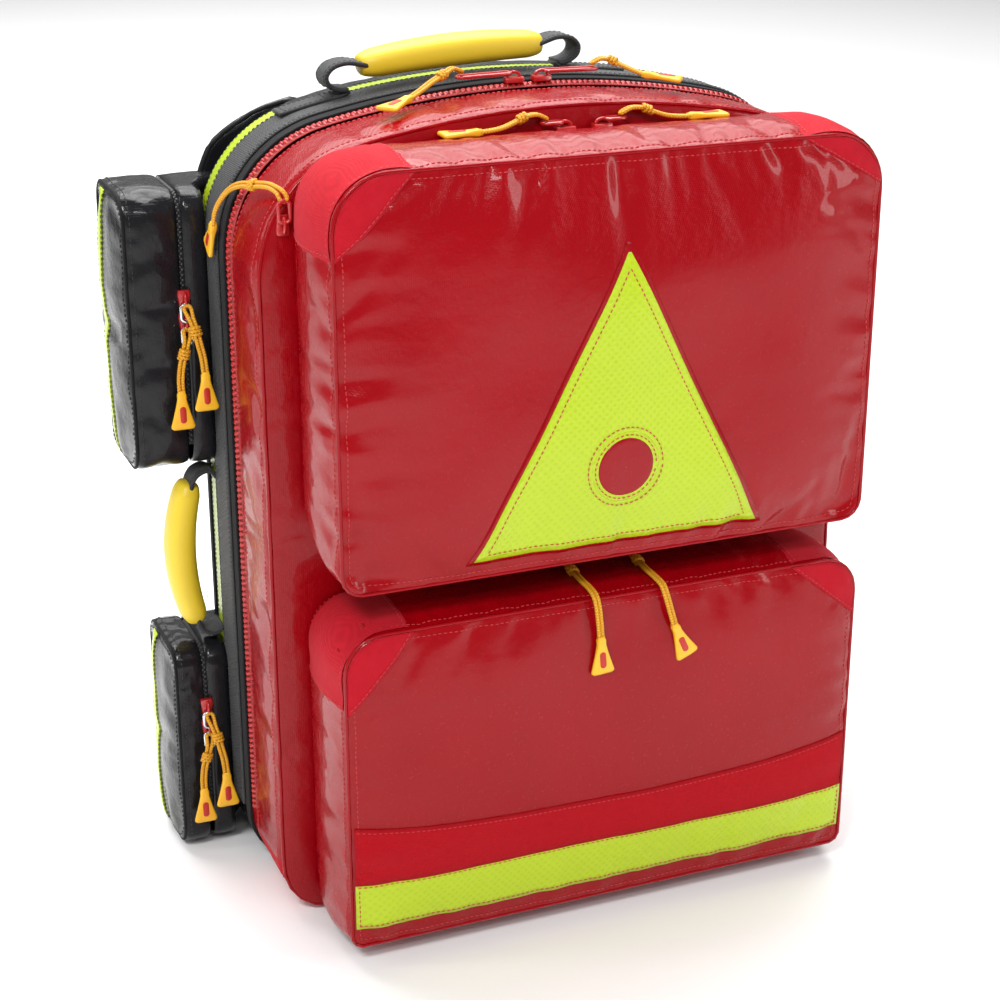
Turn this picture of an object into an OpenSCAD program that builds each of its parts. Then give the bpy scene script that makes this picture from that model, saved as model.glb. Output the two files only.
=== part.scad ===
// Emergency backpack: a black back shell with a harness, a red lid that opens
// like a book, two red front pockets and four black side pockets.
// +X is to the right seen from the front, +Y towards the wearer, +Z up.
// The origin is under the middle of the pack, on the surface that it stands on.

/* [Main body] */
// Width of the pack body, without the side pockets
body_w = 420; // [400:5:440]
// Height of the body at the middle of its arched top
body_h = 550; // [530:5:580]
// Depth of the black shell behind the main zipper
shell_d = 98; // [90:1:110]
// Depth of the red lid in front of the main zipper
lid_d = 63; // [55:1:75]
// Radius of the body's arched top
crown_r = 647; // [500:5:800]
// Radius of the body's two top corners
shoulder_r = 85; // [60:5:100]
// Thickness of the coated tarpaulin walls with their foam
wall = 3; // [2:0.5:4]

/* [Front pockets] */
// Width of both front pockets
pocket_w = 370; // [340:5:380]
// Depth of both front pockets
pocket_d = 72; // [60:1:80]
// Height at which the lower pocket ends
lower_top = 238; // [220:1:245]
// Height at which the upper pocket begins
upper_low = 262; // [255:1:280]
// Height at which the upper pocket ends
upper_top = 530; // [500:1:535]

/* [Side pockets] */
// How far an upper side pocket stands out from the body
side_out = 57; // [50:1:62]
// How far a lower side pocket stands out from the body
side_low_out = 40; // [34:1:62]
// Height of the top of the upper side pockets
side_high = 486; // [460:1:490]
// Height of the bottom of the upper side pockets
side_mid = 296; // [290:1:320]
// Height of the top of the lower side pockets
side_low = 160; // [140:1:162]

/* [Handles] */
// Length of the moulded part of the top handle
top_grip_l = 132; // [100:1:150]
// Thickness of the handle grips
grip_t = 21; // [18:1:24]
// Width of the handle grips
grip_w = 28; // [26:1:32]

/* [Harness] */
// Thickness of the padded back panel
pad_t = 18; // [12:1:22]
// Width of a shoulder strap
strap_w = 66; // [50:1:75]

/* [Hidden] */
$fn = 48;
SIDES = ["left", "right"];

// colours of the real materials
RED = [0.72, 0.05, 0.08];
BLACK = [0.08, 0.08, 0.09];
LIME = [0.72, 0.88, 0.12];
YELLOW = [0.93, 0.78, 0.16];
CORD_YELLOW = [1, 0.76, 0.15];
GREY = [0.35, 0.36, 0.38];
STEEL = [0.75, 0.75, 0.77];

// places along the depth, from the front to the wearer
tape_w = 12;                            // the main zipper, between lid and shell
lid_back = -tape_w;
lid_front = lid_back - lid_d;
chain_w = 5;                            // a pocket zipper
cover_back = lid_front - chain_w;
cover_front = cover_back - pocket_d;
trim_t = 1.5;                           // panels sewn on the front pockets
rear_reach = trim_t - cover_front;      // the harness reaches as far back as the front does forward

// places across and up
half_w = body_w / 2;
lid_half_w = half_w - 2;
hinge_t = 2;                            // thickness of the strip on which the lid folds down
pocket_half_w = pocket_w / 2;
lower_low = 10;
low_r = 40;                             // bottom corners of the body
gap = 0.4;                              // running gap between pieces that move apart

// side pockets: a tray on the body, a zipper, then the cover
side_front = 35;
side_back = 110;
side_tray_x = half_w + 18;
side_chain_x = side_tray_x + 3;
side_out_x = half_w + side_out;
side_r = 16;

// handles
band_t = 2;
handle_y = 38;
handle_x = -38;                         // the top handle sits a little towards the left
grip_r = grip_t / 2;
web_w = 18;                             // folded webbing inside a grip
web_t = 2.6;
side_handle_y = 52;
side_grip_x = half_w + 28;
side_handle_top = 288;
side_handle_low = 168;

// ---- outlines in the front view, as points [x, z] ----

function arc(cx, cz, r, a0, a1, n = 10) =
  [for (i = [0:n]) let(a = a0 + (a1 - a0) * i / n) [cx + r * cos(a), cz + r * sin(a)]];

// the arched body: round bottom corners, straight sides, round shoulders and a wide crown, grown by g
function body_points(hw, low, high, g = 0) =
  let(cx = hw - shoulder_r,
      crown_z = high - crown_r,
      cz = crown_z + sqrt(pow(crown_r - shoulder_r, 2) - cx * cx),
      at = atan2(cz - crown_z, cx),
      lx = hw - low_r,
      lz = low + low_r)
  concat(
    arc(lx, lz, low_r + g, -90, 0, 6),
    arc(cx, cz, shoulder_r + g, 0, at),
    arc(0, crown_z, crown_r + g, at, 180 - at, 16),
    arc(-cx, cz, shoulder_r + g, 180 - at, 180),
    arc(-lx, lz, low_r + g, 180, 270, 6));

// a box with round corners, of radius rl below and rh above, grown by g
function box_points(x0, x1, z0, z1, rl, rh, g = 0) =
  concat(
    arc(x1 - rl, z0 + rl, rl + g, -90, 0, 6),
    arc(x1 - rh, z1 - rh, rh + g, 0, 90, 8),
    arc(x0 + rh, z1 - rh, rh + g, 90, 180, 8),
    arc(x0 + rl, z0 + rl, rl + g, 180, 270, 6));

// ---- building blocks ----

// an outline in [x, z] pushed along Y
module slab(points, y0, y1) {
  translate([0, y1, 0]) rotate([90, 0, 0]) linear_extrude(y1 - y0) polygon(points);
}

// an outline in [y, z] pushed along X
module side_slab(points, x0, x1) {
  translate([x0, 0, 0]) rotate([90, 0, 90]) linear_extrude(x1 - x0) polygon(points);
}

module box(low, high) {
  translate(low) cube(high - low);
}

// a strip that follows the body's outline over the sides and the top, down to from_z
module outline_strip(hw, low, high, y0, y1, in, out, from_z) {
  difference() {
    slab(body_points(hw, low, high, out), y0, y1);
    slab(body_points(hw, low, high, in), y0 - 1, y1 + 1);
    box([-400, y0 - 1, low - 50], [400, y1 + 1, from_z]);
  }
}

// one piece and its twin on the other side
module both_sides() {
  children();
  mirror([1, 0, 0]) children();
}

module on_side(side) {
  if (side == "left") mirror([1, 0, 0]) children();
  else children();
}

// ---- body shell and what is inside it ----

taper_d = 38;                           // the shell narrows over this depth towards the wearer
rear_half_w = half_w - 30;

// the shell's outline seen from above, grown by g, as a block as tall as the pack and back to y1
module plan_block(g, y1) {
  side = half_w + g;
  rear = rear_half_w + g;
  bend = shell_d - taper_d;
  translate([0, 0, -20]) linear_extrude(body_h + 40) polygon([
    [-side, -20], [side, -20], [side, bend], [rear, shell_d], [rear, y1], [-rear, y1], [-rear, shell_d],
    [-side, bend]]);
}

module shell_form(g, y0, y1) {
  intersection() {
    slab(body_points(half_w, 0, body_h, -g), y0, y1);
    plan_block(-g, shell_d + 1);
  }
}

module back_shell() {
  color(BLACK) difference() {
    shell_form(0, 0, shell_d);
    shell_form(wall, -1, shell_d - wall);
  }
}

plate_t = 3;
plate_back = shell_d - wall - 1;

module back_plate() {
  color(STEEL) slab(box_points(-155, 155, 12, 500, 20, 60), plate_back - plate_t, plate_back);
}

// three pouches that hold the instruments, fixed on the back plate
pouch_back = plate_back - plate_t - 0.5;

module inner_pouches() {
  color(GREY) {
    slab(box_points(-150, 150, 330, 480, 15, 40), pouch_back - 34, pouch_back);
    both_sides() slab(box_points(5, 160, 14, 310, 12, 12), pouch_back - 34, pouch_back);
  }
}

module webbing_band() {
  color(BLACK) outline_strip(half_w, 0, body_h, 10, 44, 0, band_t, 40);
}

module reflective_band() {
  color(LIME) outline_strip(half_w, 0, body_h, 45, 59, 0, 1, 40);
}

// the tape and chain between shell and lid; it stays on the shell
module main_zipper() {
  color(RED) outline_strip(half_w, 0, body_h, lid_back + gap, 0, -4, -1, 45);
}

// the strip of tarpaulin on which the lid folds down
module lid_hinge() {
  color(RED) box([-half_w + low_r, lid_back + 0.1, 0], [half_w - low_r, -0.1, hinge_t]);
}

// ---- harness ----

pad_y = shell_d + 0.5;
pad_out = pad_y + pad_t;
strap_t = 13;
strap_x = 42;                           // inner edge of a shoulder strap

module back_pad() {
  color(GREY) slab(box_points(-135, 135, 146, 490, 25, 50), pad_y, pad_out);
}

module lumbar_pad() {
  color(GREY) slab(box_points(-150, 150, 36, 134, 25, 25), pad_y, pad_out);
}

// a shoulder strap seen from the side: sewn above the pad, standing off, then back towards the pad
function strap_line(out) = [
  [pad_y, 506 + out], [pad_y + 16, 504 + out], [rear_reach - strap_t + out, 470 + out],
  [rear_reach - strap_t + out, 250], [pad_out + 9 + out, 170]];

module shoulder_strap(side) {
  inner = strap_line(0);
  outer = strap_line(strap_t);
  color(BLACK) on_side(side)
    side_slab(concat(inner, [for (i = [len(outer) - 1:-1:0]) outer[i]]), strap_x, strap_x + strap_w);
}

// the buckle at the end of each shoulder strap, with the bar that the webbing goes round
buckle_y = pad_out + 12;

module ladder_buckles() {
  color(BLACK) both_sides() difference() {
    box([58, buckle_y, 138], [92, buckle_y + 6, 168]);
    box([62, buckle_y - 1, 142], [88, buckle_y + 7, 147]);
    box([62, buckle_y - 1, 152], [88, buckle_y + 7, 160]);
  }
}

// webbing from each buckle down to the foot of the shell
module strap_webbing() {
  color(BLACK) both_sides() side_slab([
    [buckle_y + 1.5, 143], [buckle_y + 6.3, 143], [buckle_y + 6.3, 136], [pad_out + 17, 110],
    [pad_out + 17, 30], [pad_y + 1, 16], [pad_y + 1, 14], [pad_y + 3, 14], [pad_out + 19, 29],
    [pad_out + 19, 111], [buckle_y + 8.3, 137], [buckle_y + 8.3, 146], [buckle_y + 1.5, 146]],
    64, 86);
}

belt_y = pad_out + 1;
belt_t = 12;
belt_z = [52, 122];

module hip_belt(side) {
  color(BLACK) on_side(side) {
    slab(box_points(82, 165, belt_z[0], belt_z[1], 20, 20), belt_y, belt_y + belt_t);
    slab(box_points(158, 178, belt_z[0] + 10, belt_z[1] - 10, 5, 5), pad_y, belt_y);
  }
}

// the hip buckle: the socket holds the plug's two prongs, and each has its webbing outside the belt
socket_x = [-36, -4];
plug_x = [-3.5, 36];
clip_z = [70, 104];
clip_y = [belt_y + 2, belt_y + 13];
belt_web_y = [belt_y + belt_t + 0.4, belt_y + belt_t + 2.4];
belt_web_z = [clip_z[0] + 5, clip_z[1] - 5];

module hip_buckle_socket() {
  color(BLACK) {
    difference() {
      box([socket_x[0], clip_y[0], clip_z[0]], [socket_x[1], clip_y[1], clip_z[1]]);
      box([socket_x[0] + 10, clip_y[0] + 2.5, clip_z[0] + 3], [socket_x[1] + 1, clip_y[1] - 2.5, clip_z[1] - 3]);
    }
    box([-130, belt_web_y[0], belt_web_z[0]], [socket_x[0] + 6, belt_web_y[1], belt_web_z[1]]);
  }
}

module hip_buckle_plug() {
  color(BLACK) {
    box([plug_x[0], clip_y[0], clip_z[0]], [plug_x[1], clip_y[1], clip_z[1]]);
    for (z = [clip_z[0] + 4, clip_z[1] - 11])
      box([-23, clip_y[0] + 3, z], [plug_x[0] + 0.1, clip_y[1] - 3, z + 7]);
    box([plug_x[1] - 6, belt_web_y[0], belt_web_z[0]], [130, belt_web_y[1], belt_web_z[1]]);
  }
}

// ---- lid ----

module lid_shell() {
  color(RED) difference() {
    slab(body_points(lid_half_w, 0, body_h - 4), lid_front, lid_back);
    slab(body_points(lid_half_w, 0, body_h - 4, -wall), lid_front + wall, lid_back + 1);
  }
}

function upper_points(g = 0) = box_points(-pocket_half_w, pocket_half_w, upper_low + 4, upper_top, 14, 36, g);
function lower_points(g = 0) = box_points(-pocket_half_w, pocket_half_w, lower_low + 4, lower_top, 8, 26, g);

// the fixed floor of each front pocket; the covers fold down on its front edge
module pocket_floors() {
  color(RED) for (z = [upper_low, lower_low])
    box([-pocket_half_w + 12, cover_front + 6, z], [pocket_half_w - 12, lid_front, z + 2.6]);
}

module zipper_ring(points_out, points_in, from_z) {
  difference() {
    slab(points_out, cover_back + gap, lid_front);
    slab(points_in, cover_back - 1, lid_front + 1);
    box([-400, cover_back - 1, 0], [400, lid_front + 1, from_z]);
  }
}

module pocket_zippers() {
  color(RED) {
    zipper_ring(upper_points(-0.5), upper_points(-4), upper_low + 30);
    zipper_ring(lower_points(-0.5), lower_points(-4), lower_low + 30);
  }
}

// ---- front pocket covers: front, sides and top; open behind and below ----

module pocket_cover(outer, inner, low) {
  color(RED) difference() {
    slab(outer, cover_front, cover_back);
    slab(inner, cover_front + wall, cover_back + 1);
    box([-pocket_half_w + 14, cover_front + wall, low - 1], [pocket_half_w - 14, cover_back + 1, low + 10]);
  }
}

module upper_pocket_cover() { pocket_cover(upper_points(), upper_points(-wall), upper_low); }
module lower_pocket_cover() { pocket_cover(lower_points(), lower_points(-wall), lower_low); }

// the lime panel on the upper pocket, with a plain round window
triangle_z = [279, 474];
triangle_half = 101;
window_z = 333;
window_r = 20;

module warning_triangle() {
  color(LIME) translate([0, cover_front, 0]) rotate([90, 0, 0]) linear_extrude(1) difference() {
    polygon([[-triangle_half, triangle_z[0]], [triangle_half, triangle_z[0]], [0, triangle_z[1]]]);
    translate([0, window_z]) circle(window_r);
  }
}

strip_z = [29, 63];
loop_z = [64, 99];

module loop_panel() {
  color(RED) box([-pocket_half_w + 3, cover_front - trim_t, loop_z[0]], [pocket_half_w - 3, cover_front, loop_z[1]]);
}

module reflective_strip() {
  color(LIME) box([-pocket_half_w + 3, cover_front - 1, strip_z[0]], [pocket_half_w - 3, cover_front, strip_z[1]]);
}

// ---- side pockets ----

UPPER_Z = [side_mid, side_high];
LOWER_Z = [4, side_low];

function side_points(z, g = 0) = box_points(side_front, side_back, z[0], z[1], side_r, side_r, g);

// a tray fits round the slanted rear of the shell, on the webbing band
tray_from = 150;

module side_tray(z) {
  difference() {
    side_slab(side_points(z), tray_from, side_tray_x);
    plan_block(band_t, side_back + 10);
    difference() {
      side_slab(side_points(z, -2.5), tray_from - 1, side_tray_x + 1);
      plan_block(band_t + 2.5, side_back + 11);
    }
  }
}

module side_pocket_bases() {
  color(BLACK) both_sides() for (z = [UPPER_Z, LOWER_Z]) side_tray(z);
}

// the chain runs up the front and over the top of each side pocket
module side_chain(z) {
  difference() {
    side_slab(side_points(z, -0.5), side_tray_x, side_chain_x - gap);
    side_slab(side_points(z, -3), side_tray_x - 1, side_chain_x + 1);
    box([0, side_front + side_r, z[0] - 20], [400, side_back + 20, z[1] - side_r]);
    box([0, side_back - side_r, z[0] - 20], [400, side_back + 20, z[1] + 20]);
    box([0, 0, z[0] - 20], [400, side_back + 20, z[0] + side_r]);
  }
}

module side_zippers() {
  color(BLACK) both_sides() for (z = [UPPER_Z, LOWER_Z]) side_chain(z);
}

module side_cover(side, z) {
  out = z == UPPER_Z ? side_out_x : half_w + side_low_out;
  color(BLACK) on_side(side) difference() {
    side_slab(side_points(z), side_chain_x, out);
    side_slab(side_points(z, -2.5), side_chain_x - 1, out - 2.5);
  }
}

// ---- handles ----

// the section of a grip, with the slot for its webbing: thick across x, wide across y
module grip_section(slot = true) {
  flat = grip_w / 2 - grip_r;
  difference() {
    union() {
      square([grip_t, 2 * flat], center = true);
      for (s = [-1, 1]) translate([0, s * flat]) circle(grip_r);
    }
    if (slot) square([web_t + 0.6, web_w + 0.6], center = true);
  }
}

// a section carried round an arc of radius r in the XZ plane, from angle a0 to a1 above +X
module carried(r, a0, a1) {
  rotate([90, 0, 0]) rotate([0, 0, a0]) rotate_extrude(angle = a1 - a0, $fn = 120)
    translate([r, 0]) children();
}

// each end of a handle's webbing narrows to a foot, on which the handle tilts
foot_h = 6;

// the end of a handle's webbing as [across, outwards]: from its foot to the height h
module loop_end(h, t) {
  half = web_w / 2 + 0.3;
  translate([0, 0, -t / 2]) linear_extrude(t)
    polygon([[-1.5, -1], [1.5, -1], [half, foot_h], [half, h], [-half, h], [-half, foot_h]]);
}

top_arc_r = crown_r + band_t + 5.5 + grip_r;
top_foot_r = crown_r + band_t + web_t + 2;
top_grip_a = top_grip_l / 2 / top_arc_r * 180 / PI;
top_web_a = (top_grip_l / 2 + 14) / top_arc_r * 180 / PI;
top_mid_a = 90 - handle_x / top_arc_r * 180 / PI;

module top_handle_grip() {
  color(YELLOW) translate([0, handle_y, body_h - crown_r])
    carried(top_arc_r, top_mid_a - top_grip_a, top_mid_a + top_grip_a) grip_section();
}

module top_handle_strap() {
  color(BLACK) translate([0, handle_y, body_h - crown_r]) {
    carried(top_arc_r, top_mid_a - top_web_a, top_mid_a + top_web_a) square([web_t, web_w], center = true);
    for (s = [-1, 1]) rotate([0, 90 - top_mid_a - s * (top_web_a - 0.13), 0]) translate([0, 0, top_foot_r])
      rotate([90, 0, 90]) loop_end(top_arc_r + 2 - top_foot_r, 3);
  }
}

// the two ends of the top handle's webbing, sewn on the band
module handle_tails() {
  tail_r = crown_r + band_t + web_t / 2;
  color(BLACK) translate([0, handle_y, body_h - crown_r])
    for (s = [-1, 1]) {
      from = top_mid_a + s * (top_web_a - 0.3);
      to = top_mid_a + s * (top_web_a + 4.2);
      carried(tail_r, min(from, to), max(from, to)) square([web_t, web_w], center = true);
    }
}

side_arc_r = 150;
side_grip_a = 20.5;
side_mid_z = (side_handle_top + side_handle_low) / 2;
side_foot_x = half_w + band_t + 1.5;

module side_handle_grip(side) {
  color(YELLOW) on_side(side) translate([side_grip_x - side_arc_r, side_handle_y, side_mid_z])
    carried(side_arc_r, -side_grip_a, side_grip_a) grip_section();
}

module side_handle_strap(side) {
  end_x = side_grip_x - side_arc_r * (1 - cos(side_grip_a + 1.5));
  end_z = side_arc_r * sin(side_grip_a + 1.5);
  color(BLACK) on_side(side) translate([0, side_handle_y, side_mid_z]) {
    translate([side_grip_x - side_arc_r, 0, 0])
      carried(side_arc_r, -side_grip_a - 1.2, side_grip_a + 1.2) square([web_t, web_w], center = true);
    for (s = [-1, 1]) translate([side_foot_x, 0, s * end_z])
      rotate([0, 0, -90]) loop_end(end_x + 2.2 - side_foot_x, 4);
  }
}

// ---- zipper sliders and pulls ----

// a slider on a track along X, its foot at z = 0: a wedge, a bridge and a flat ring beside the track
module slider(ring_l, ring_dir) {
  box([-6, -3.8, 0], [6, 3.8, 3.6]);
  box([-4, -1.6, 3.6], [4, 1.6, 5.2]);
  translate([ring_dir * (ring_l / 2 + 2), 0, 5.2]) linear_extrude(2) difference() {
    square([ring_l, 9], center = true);
    square([ring_l - 4.4, 4.6], center = true);
  }
}

cord_d = 5;                             // two strands side by side

function unit(v) = v / norm(v);
// a ring of points round the route's point i, level with the route there
function cord_ring(route, i, r, n) =
  let(t = unit(route[min(i + 1, len(route) - 1)] - route[max(i - 1, 0)]),
      side = unit(cross(t, abs(t.z) > 0.9 ? [0, 1, 0] : [0, 0, 1])),
      up = cross(side, t))
  [for (k = [0:n - 1]) let(a = 360 * k / n) route[i] + r * (cos(a) * side + sin(a) * up)];

module cord_tube(route) {
  n = 8;
  m = len(route);
  points = [for (i = [0:m - 1]) each cord_ring(route, i, cord_d / 2, n)];
  sides = [for (i = [0:m - 2], k = [0:n - 1])
    [i * n + k, i * n + (k + 1) % n, (i + 1) * n + (k + 1) % n, (i + 1) * n + k]];
  polyhedron(points, concat([[for (k = [n - 1:-1:0]) k]], sides, [[for (k = [0:n - 1]) (m - 1) * n + k]]));
}

// the flared tag at the end of a pull: its neck at the origin, flaring along X, flat in Z
tag_l = 27;

module tag() {
  translate([0, 0, -2]) linear_extrude(4)
    polygon([[0, -4.5], [8, -4], [tag_l - 2, -8.5], [tag_l, -6.5], [tag_l, 6.5], [tag_l - 2, 8.5], [8, 4], [0, 4.5]]);
}

// a pull: the doubled cord along its route, then the tag turned by turn
module pull(route, turn) {
  color(CORD_YELLOW) {
    cord_tube(route);
    translate(route[len(route) - 1]) rotate(turn) translate([0.1, 0, 0]) tag();
  }
}

// the height of the crown at x, for what lies on the body's arched top
function crown_at(x, high) = high - crown_r + sqrt(crown_r * crown_r - x * x);

slider_y = lid_back / 2;
ring_l = 38;

module main_slider(s) {
  x = s * 10;
  color(RED) translate([x, slider_y, crown_at(x, body_h) + 0.3]) rotate([0, s * 1, 0]) slider(ring_l, s);
}

// the pulls of the main zipper lie outwards along the top of the lid
MAIN_ROUTES = [
  [[-48, -6, 560], [-54, -8, 562], [-62, -13, 559.5], [-72, -18, 556], [-82, -24, 552], [-92, -30, 548.5]],
  [[48, -6, 560], [53, -7, 562], [59, -10, 561], [65, -14, 558], [71, -19, 555], [77, -24, 552.5]]];

module main_pull(i) {
  pull(MAIN_ROUTES[i], i == 0 ? [0, 180 - 7, 34] : [0, 6, -34]);
}

pocket_slider_x = [-6, 20];             // where the two sliders of a front pocket meet
pocket_slider_y = cover_back - 0.6;

module upper_slider(i) {
  color(RED) translate([pocket_slider_x[i], pocket_slider_y, upper_top + 0.3]) slider(14, i == 0 ? -1 : 1);
}

module lower_slider(i) {
  color(RED) translate([pocket_slider_x[i] + 3, pocket_slider_y, lower_top + 0.3]) slider(14, i == 0 ? -1 : 1);
}

// from the slider's ring outwards along the top of the pocket
UPPER_ROUTE = [[14, 0, 10], [20, -1, 12.5], [28, -2, 12], [36, -3, 9], [44, -4, 6.5], [52, -5, 5.5], [60, -5, 5]];

module upper_pull(i) {
  s = i == 0 ? -1 : 1;
  origin = [pocket_slider_x[i], pocket_slider_y, upper_top];
  pull([for (p = UPPER_ROUTE) origin + [s * p.x, p.y, p.z]], [0, s < 0 ? 180 : 0, 0]);
}

// from the slider's ring forwards over the top of the pocket and down its front
function lower_route(x0, x1) = [
  [x0, -82, lower_top + 10], [x0, -92, lower_top + 11], [x0, -112, lower_top + 8], [x0, -132, lower_top + 6],
  [x0, -146, lower_top + 5.5], [x0 + 0.15 * (x1 - x0), -154, lower_top + 3],
  [x0 + 0.3 * (x1 - x0), -158, lower_top - 4], [x0 + 0.6 * (x1 - x0), -159, lower_top - 14],
  [x1, -159, lower_top - 26]];

module lower_pull(i) {
  x0 = pocket_slider_x[i] + (i == 0 ? -8 : 14);
  x1 = x0 + (i == 0 ? 3 : 9);
  pull(lower_route(x0, x1), [90, i == 0 ? 86 : 66, 0]);
}

// the slim pocket behind the upper pocket closes on the left side of the lid's front
module middle_slider() {
  color(RED) translate([-192, lid_front - 0.3, 486]) rotate([90, 0, 0]) rotate([0, 0, 90]) slider(14, 1);
}

// over the lid's shoulder, and down the side of the pack
MIDDLE_ROUTE = [[-192, -81, 503], [-194, -79, 507], [-197, -71, 509], [-199, -60, 508], [-202, -44, 505],
  [-204, -28, 502], [-207, -14, 497], [-211, -5, 489], [-214.5, -1, 480], [-215.5, 1, 471]];

module middle_pull() {
  pull(MIDDLE_ROUTE, [90, 90 - 41, 90]);
}

// side pockets: slider a runs upwards and b downwards on the front chain
slider_side_x = (side_tray_x + side_chain_x) / 2;
function side_slider_z(z, which) = z == UPPER_Z ? (which == "a" ? 415 : 399) : (which == "a" ? 115 : 99);
SIDE_ROUTE_A = [[0, -9, -4], [-1, -13, -9], [-3, -16, -17], [-5, -17, -27], [-7, -17, -37], [-8, -17, -48]];
SIDE_ROUTE_B = [[1, -9, -4], [2, -12, -9], [4, -12, -17], [6, -10, -27], [7, -9, -37], [7, -9, -46]];

module side_pull(side, z, which) {
  at = [slider_side_x, side_front, side_slider_z(z, which)];
  route = which == "a" ? SIDE_ROUTE_A : SIDE_ROUTE_B;
  on_side(side) {
    color(STEEL) translate(at + [0, -0.3, 0]) rotate([90, 0, 0]) rotate([0, 0, 90]) slider(12, -1);
    pull([for (p = route) at + p], [90, 90, 0]);
  }
}

// ---- every node, one at a time or all together ----

back_shell();
back_plate();
webbing_band();
reflective_band();
main_zipper();
lid_hinge();
inner_pouches();
back_pad();
lumbar_pad();
for (side = SIDES) shoulder_strap(side);
strap_webbing();
ladder_buckles();
for (side = SIDES) hip_belt(side);
hip_buckle_socket();
hip_buckle_plug();
side_pocket_bases();
side_zippers();
handle_tails();
lid_shell();
pocket_floors();
pocket_zippers();
upper_pocket_cover();
warning_triangle();
lower_pocket_cover();
loop_panel();
reflective_strip();
top_handle_strap();
top_handle_grip();
for (side = SIDES) {
  side_cover(side, UPPER_Z);
  side_cover(side, LOWER_Z);
  side_handle_strap(side);
  side_handle_grip(side);
  for (which = ["a", "b"]) {
    side_pull(side, UPPER_Z, which);
    side_pull(side, LOWER_Z, which);
  }
}
for (i = [0, 1]) {
  s = i == 0 ? -1 : 1;
  main_slider(s);
  main_pull(i);
  upper_slider(i);
  upper_pull(i);
  lower_slider(i);
  lower_pull(i);
}
middle_slider();
middle_pull();
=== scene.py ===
import bpy
from math import sin, cos, pi, radians, degrees, atan2, hypot, sqrt, exp
from mathutils import Vector, Matrix
from mathutils.bvhtree import BVHTree
from mathutils.noise import noise


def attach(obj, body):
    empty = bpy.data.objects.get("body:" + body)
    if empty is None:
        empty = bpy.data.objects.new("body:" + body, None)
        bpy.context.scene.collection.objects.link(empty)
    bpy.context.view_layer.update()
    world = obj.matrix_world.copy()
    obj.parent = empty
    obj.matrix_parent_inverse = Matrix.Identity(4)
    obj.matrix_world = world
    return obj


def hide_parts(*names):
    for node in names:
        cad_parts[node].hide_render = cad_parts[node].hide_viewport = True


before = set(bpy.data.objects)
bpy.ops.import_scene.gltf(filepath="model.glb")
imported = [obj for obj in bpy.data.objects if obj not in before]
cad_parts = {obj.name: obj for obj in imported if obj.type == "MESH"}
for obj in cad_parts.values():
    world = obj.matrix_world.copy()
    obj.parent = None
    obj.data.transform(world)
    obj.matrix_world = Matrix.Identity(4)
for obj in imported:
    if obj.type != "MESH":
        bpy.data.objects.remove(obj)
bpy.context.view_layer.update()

# ---- camera, floor and studio light ----
# A camera a little to the left and well above the pack, over a pale floor that is lit brighter at the back.
# Soft banks stand at the upper left, right and overhead; narrow strips draw streaks on the glossy folds.
camera = bpy.data.objects.new("camera", bpy.data.cameras.new("camera"))
bpy.context.scene.collection.objects.link(camera)
camera.data.lens, camera.data.sensor_width = 74.25, 36
camera.location = (-0.53919, -1.26922, 0.77847)
camera.rotation_euler = (Vector((-0.04715, -0.07308, 0.28405))
                         - camera.location).to_track_quat("-Z", "Y").to_euler()
bpy.context.scene.camera = camera
bpy.context.scene.view_settings.view_transform = "Standard"

world = bpy.data.worlds.new("studio")
bpy.context.scene.world = world
world.use_nodes = True
world.node_tree.nodes["Background"].inputs["Color"].default_value = (1, 1, 1, 1)
world.node_tree.nodes["Background"].inputs["Strength"].default_value = 0.26


def soft_bank(name, place, aim, wide, high, watts):
    lamp = bpy.data.lights.new(name, "AREA")
    lamp.shape, lamp.size, lamp.size_y, lamp.energy = "RECTANGLE", wide, high, watts
    bank = bpy.data.objects.new(name, lamp)
    bank.location = place
    bank.rotation_euler = (Vector(aim) - Vector(place)).to_track_quat("-Z", "Y").to_euler()
    bpy.context.scene.collection.objects.link(bank)


soft_bank("key_bank", (-1.3, -1.5, 2.1), (0, 0, 0.3), 0.6, 0.45, 36)
soft_bank("side_bank", (1.7, -1.5, 1.0), (0, 0, 0.3), 0.4, 1.5, 15)
soft_bank("edge_strip", (-1.7, 0.3, 0.9), (-0.2, 0, 0.3), 0.3, 1.5, 6)
soft_bank("top_bank", (0.2, 0.7, 2.4), (0, 0.2, 0.2), 2.4, 1.2, 80)
soft_bank("floor_bank", (0.3, 3.2, 2.8), (0.3, 2.6, 0), 5.0, 3.0, 112)
soft_bank("streak_bank", (-0.5, -2.0, 1.8), (0, 0, 0.4), 1.1, 0.12, 9)


class Line:
    """One value on its way through a finish; sums on it add their own Math nodes."""

    def __init__(self, socket):
        self.socket = socket

    def maths(self, operation, other, turned=False):
        node = self.socket.id_data.nodes.new("ShaderNodeMath")
        node.operation = operation
        for i, value in enumerate((other, self) if turned else (self, other)):
            if isinstance(value, Line):
                self.socket.id_data.links.new(value.socket, node.inputs[i])
            else:
                node.inputs[i].default_value = value
        return Line(node.outputs[0])

    def __add__(self, other):
        return self.maths("ADD", other)

    def __sub__(self, other):
        return self.maths("SUBTRACT", other)

    def __rsub__(self, other):
        return self.maths("SUBTRACT", other, True)

    def __mul__(self, other):
        return self.maths("MULTIPLY", other)

    def __gt__(self, other):
        return self.maths("GREATER_THAN", other)

    def __lt__(self, other):
        return self.maths("LESS_THAN", other)

    def __pow__(self, other):
        return self.maths("POWER", other)

    __radd__, __rmul__ = __add__, __mul__


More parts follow.
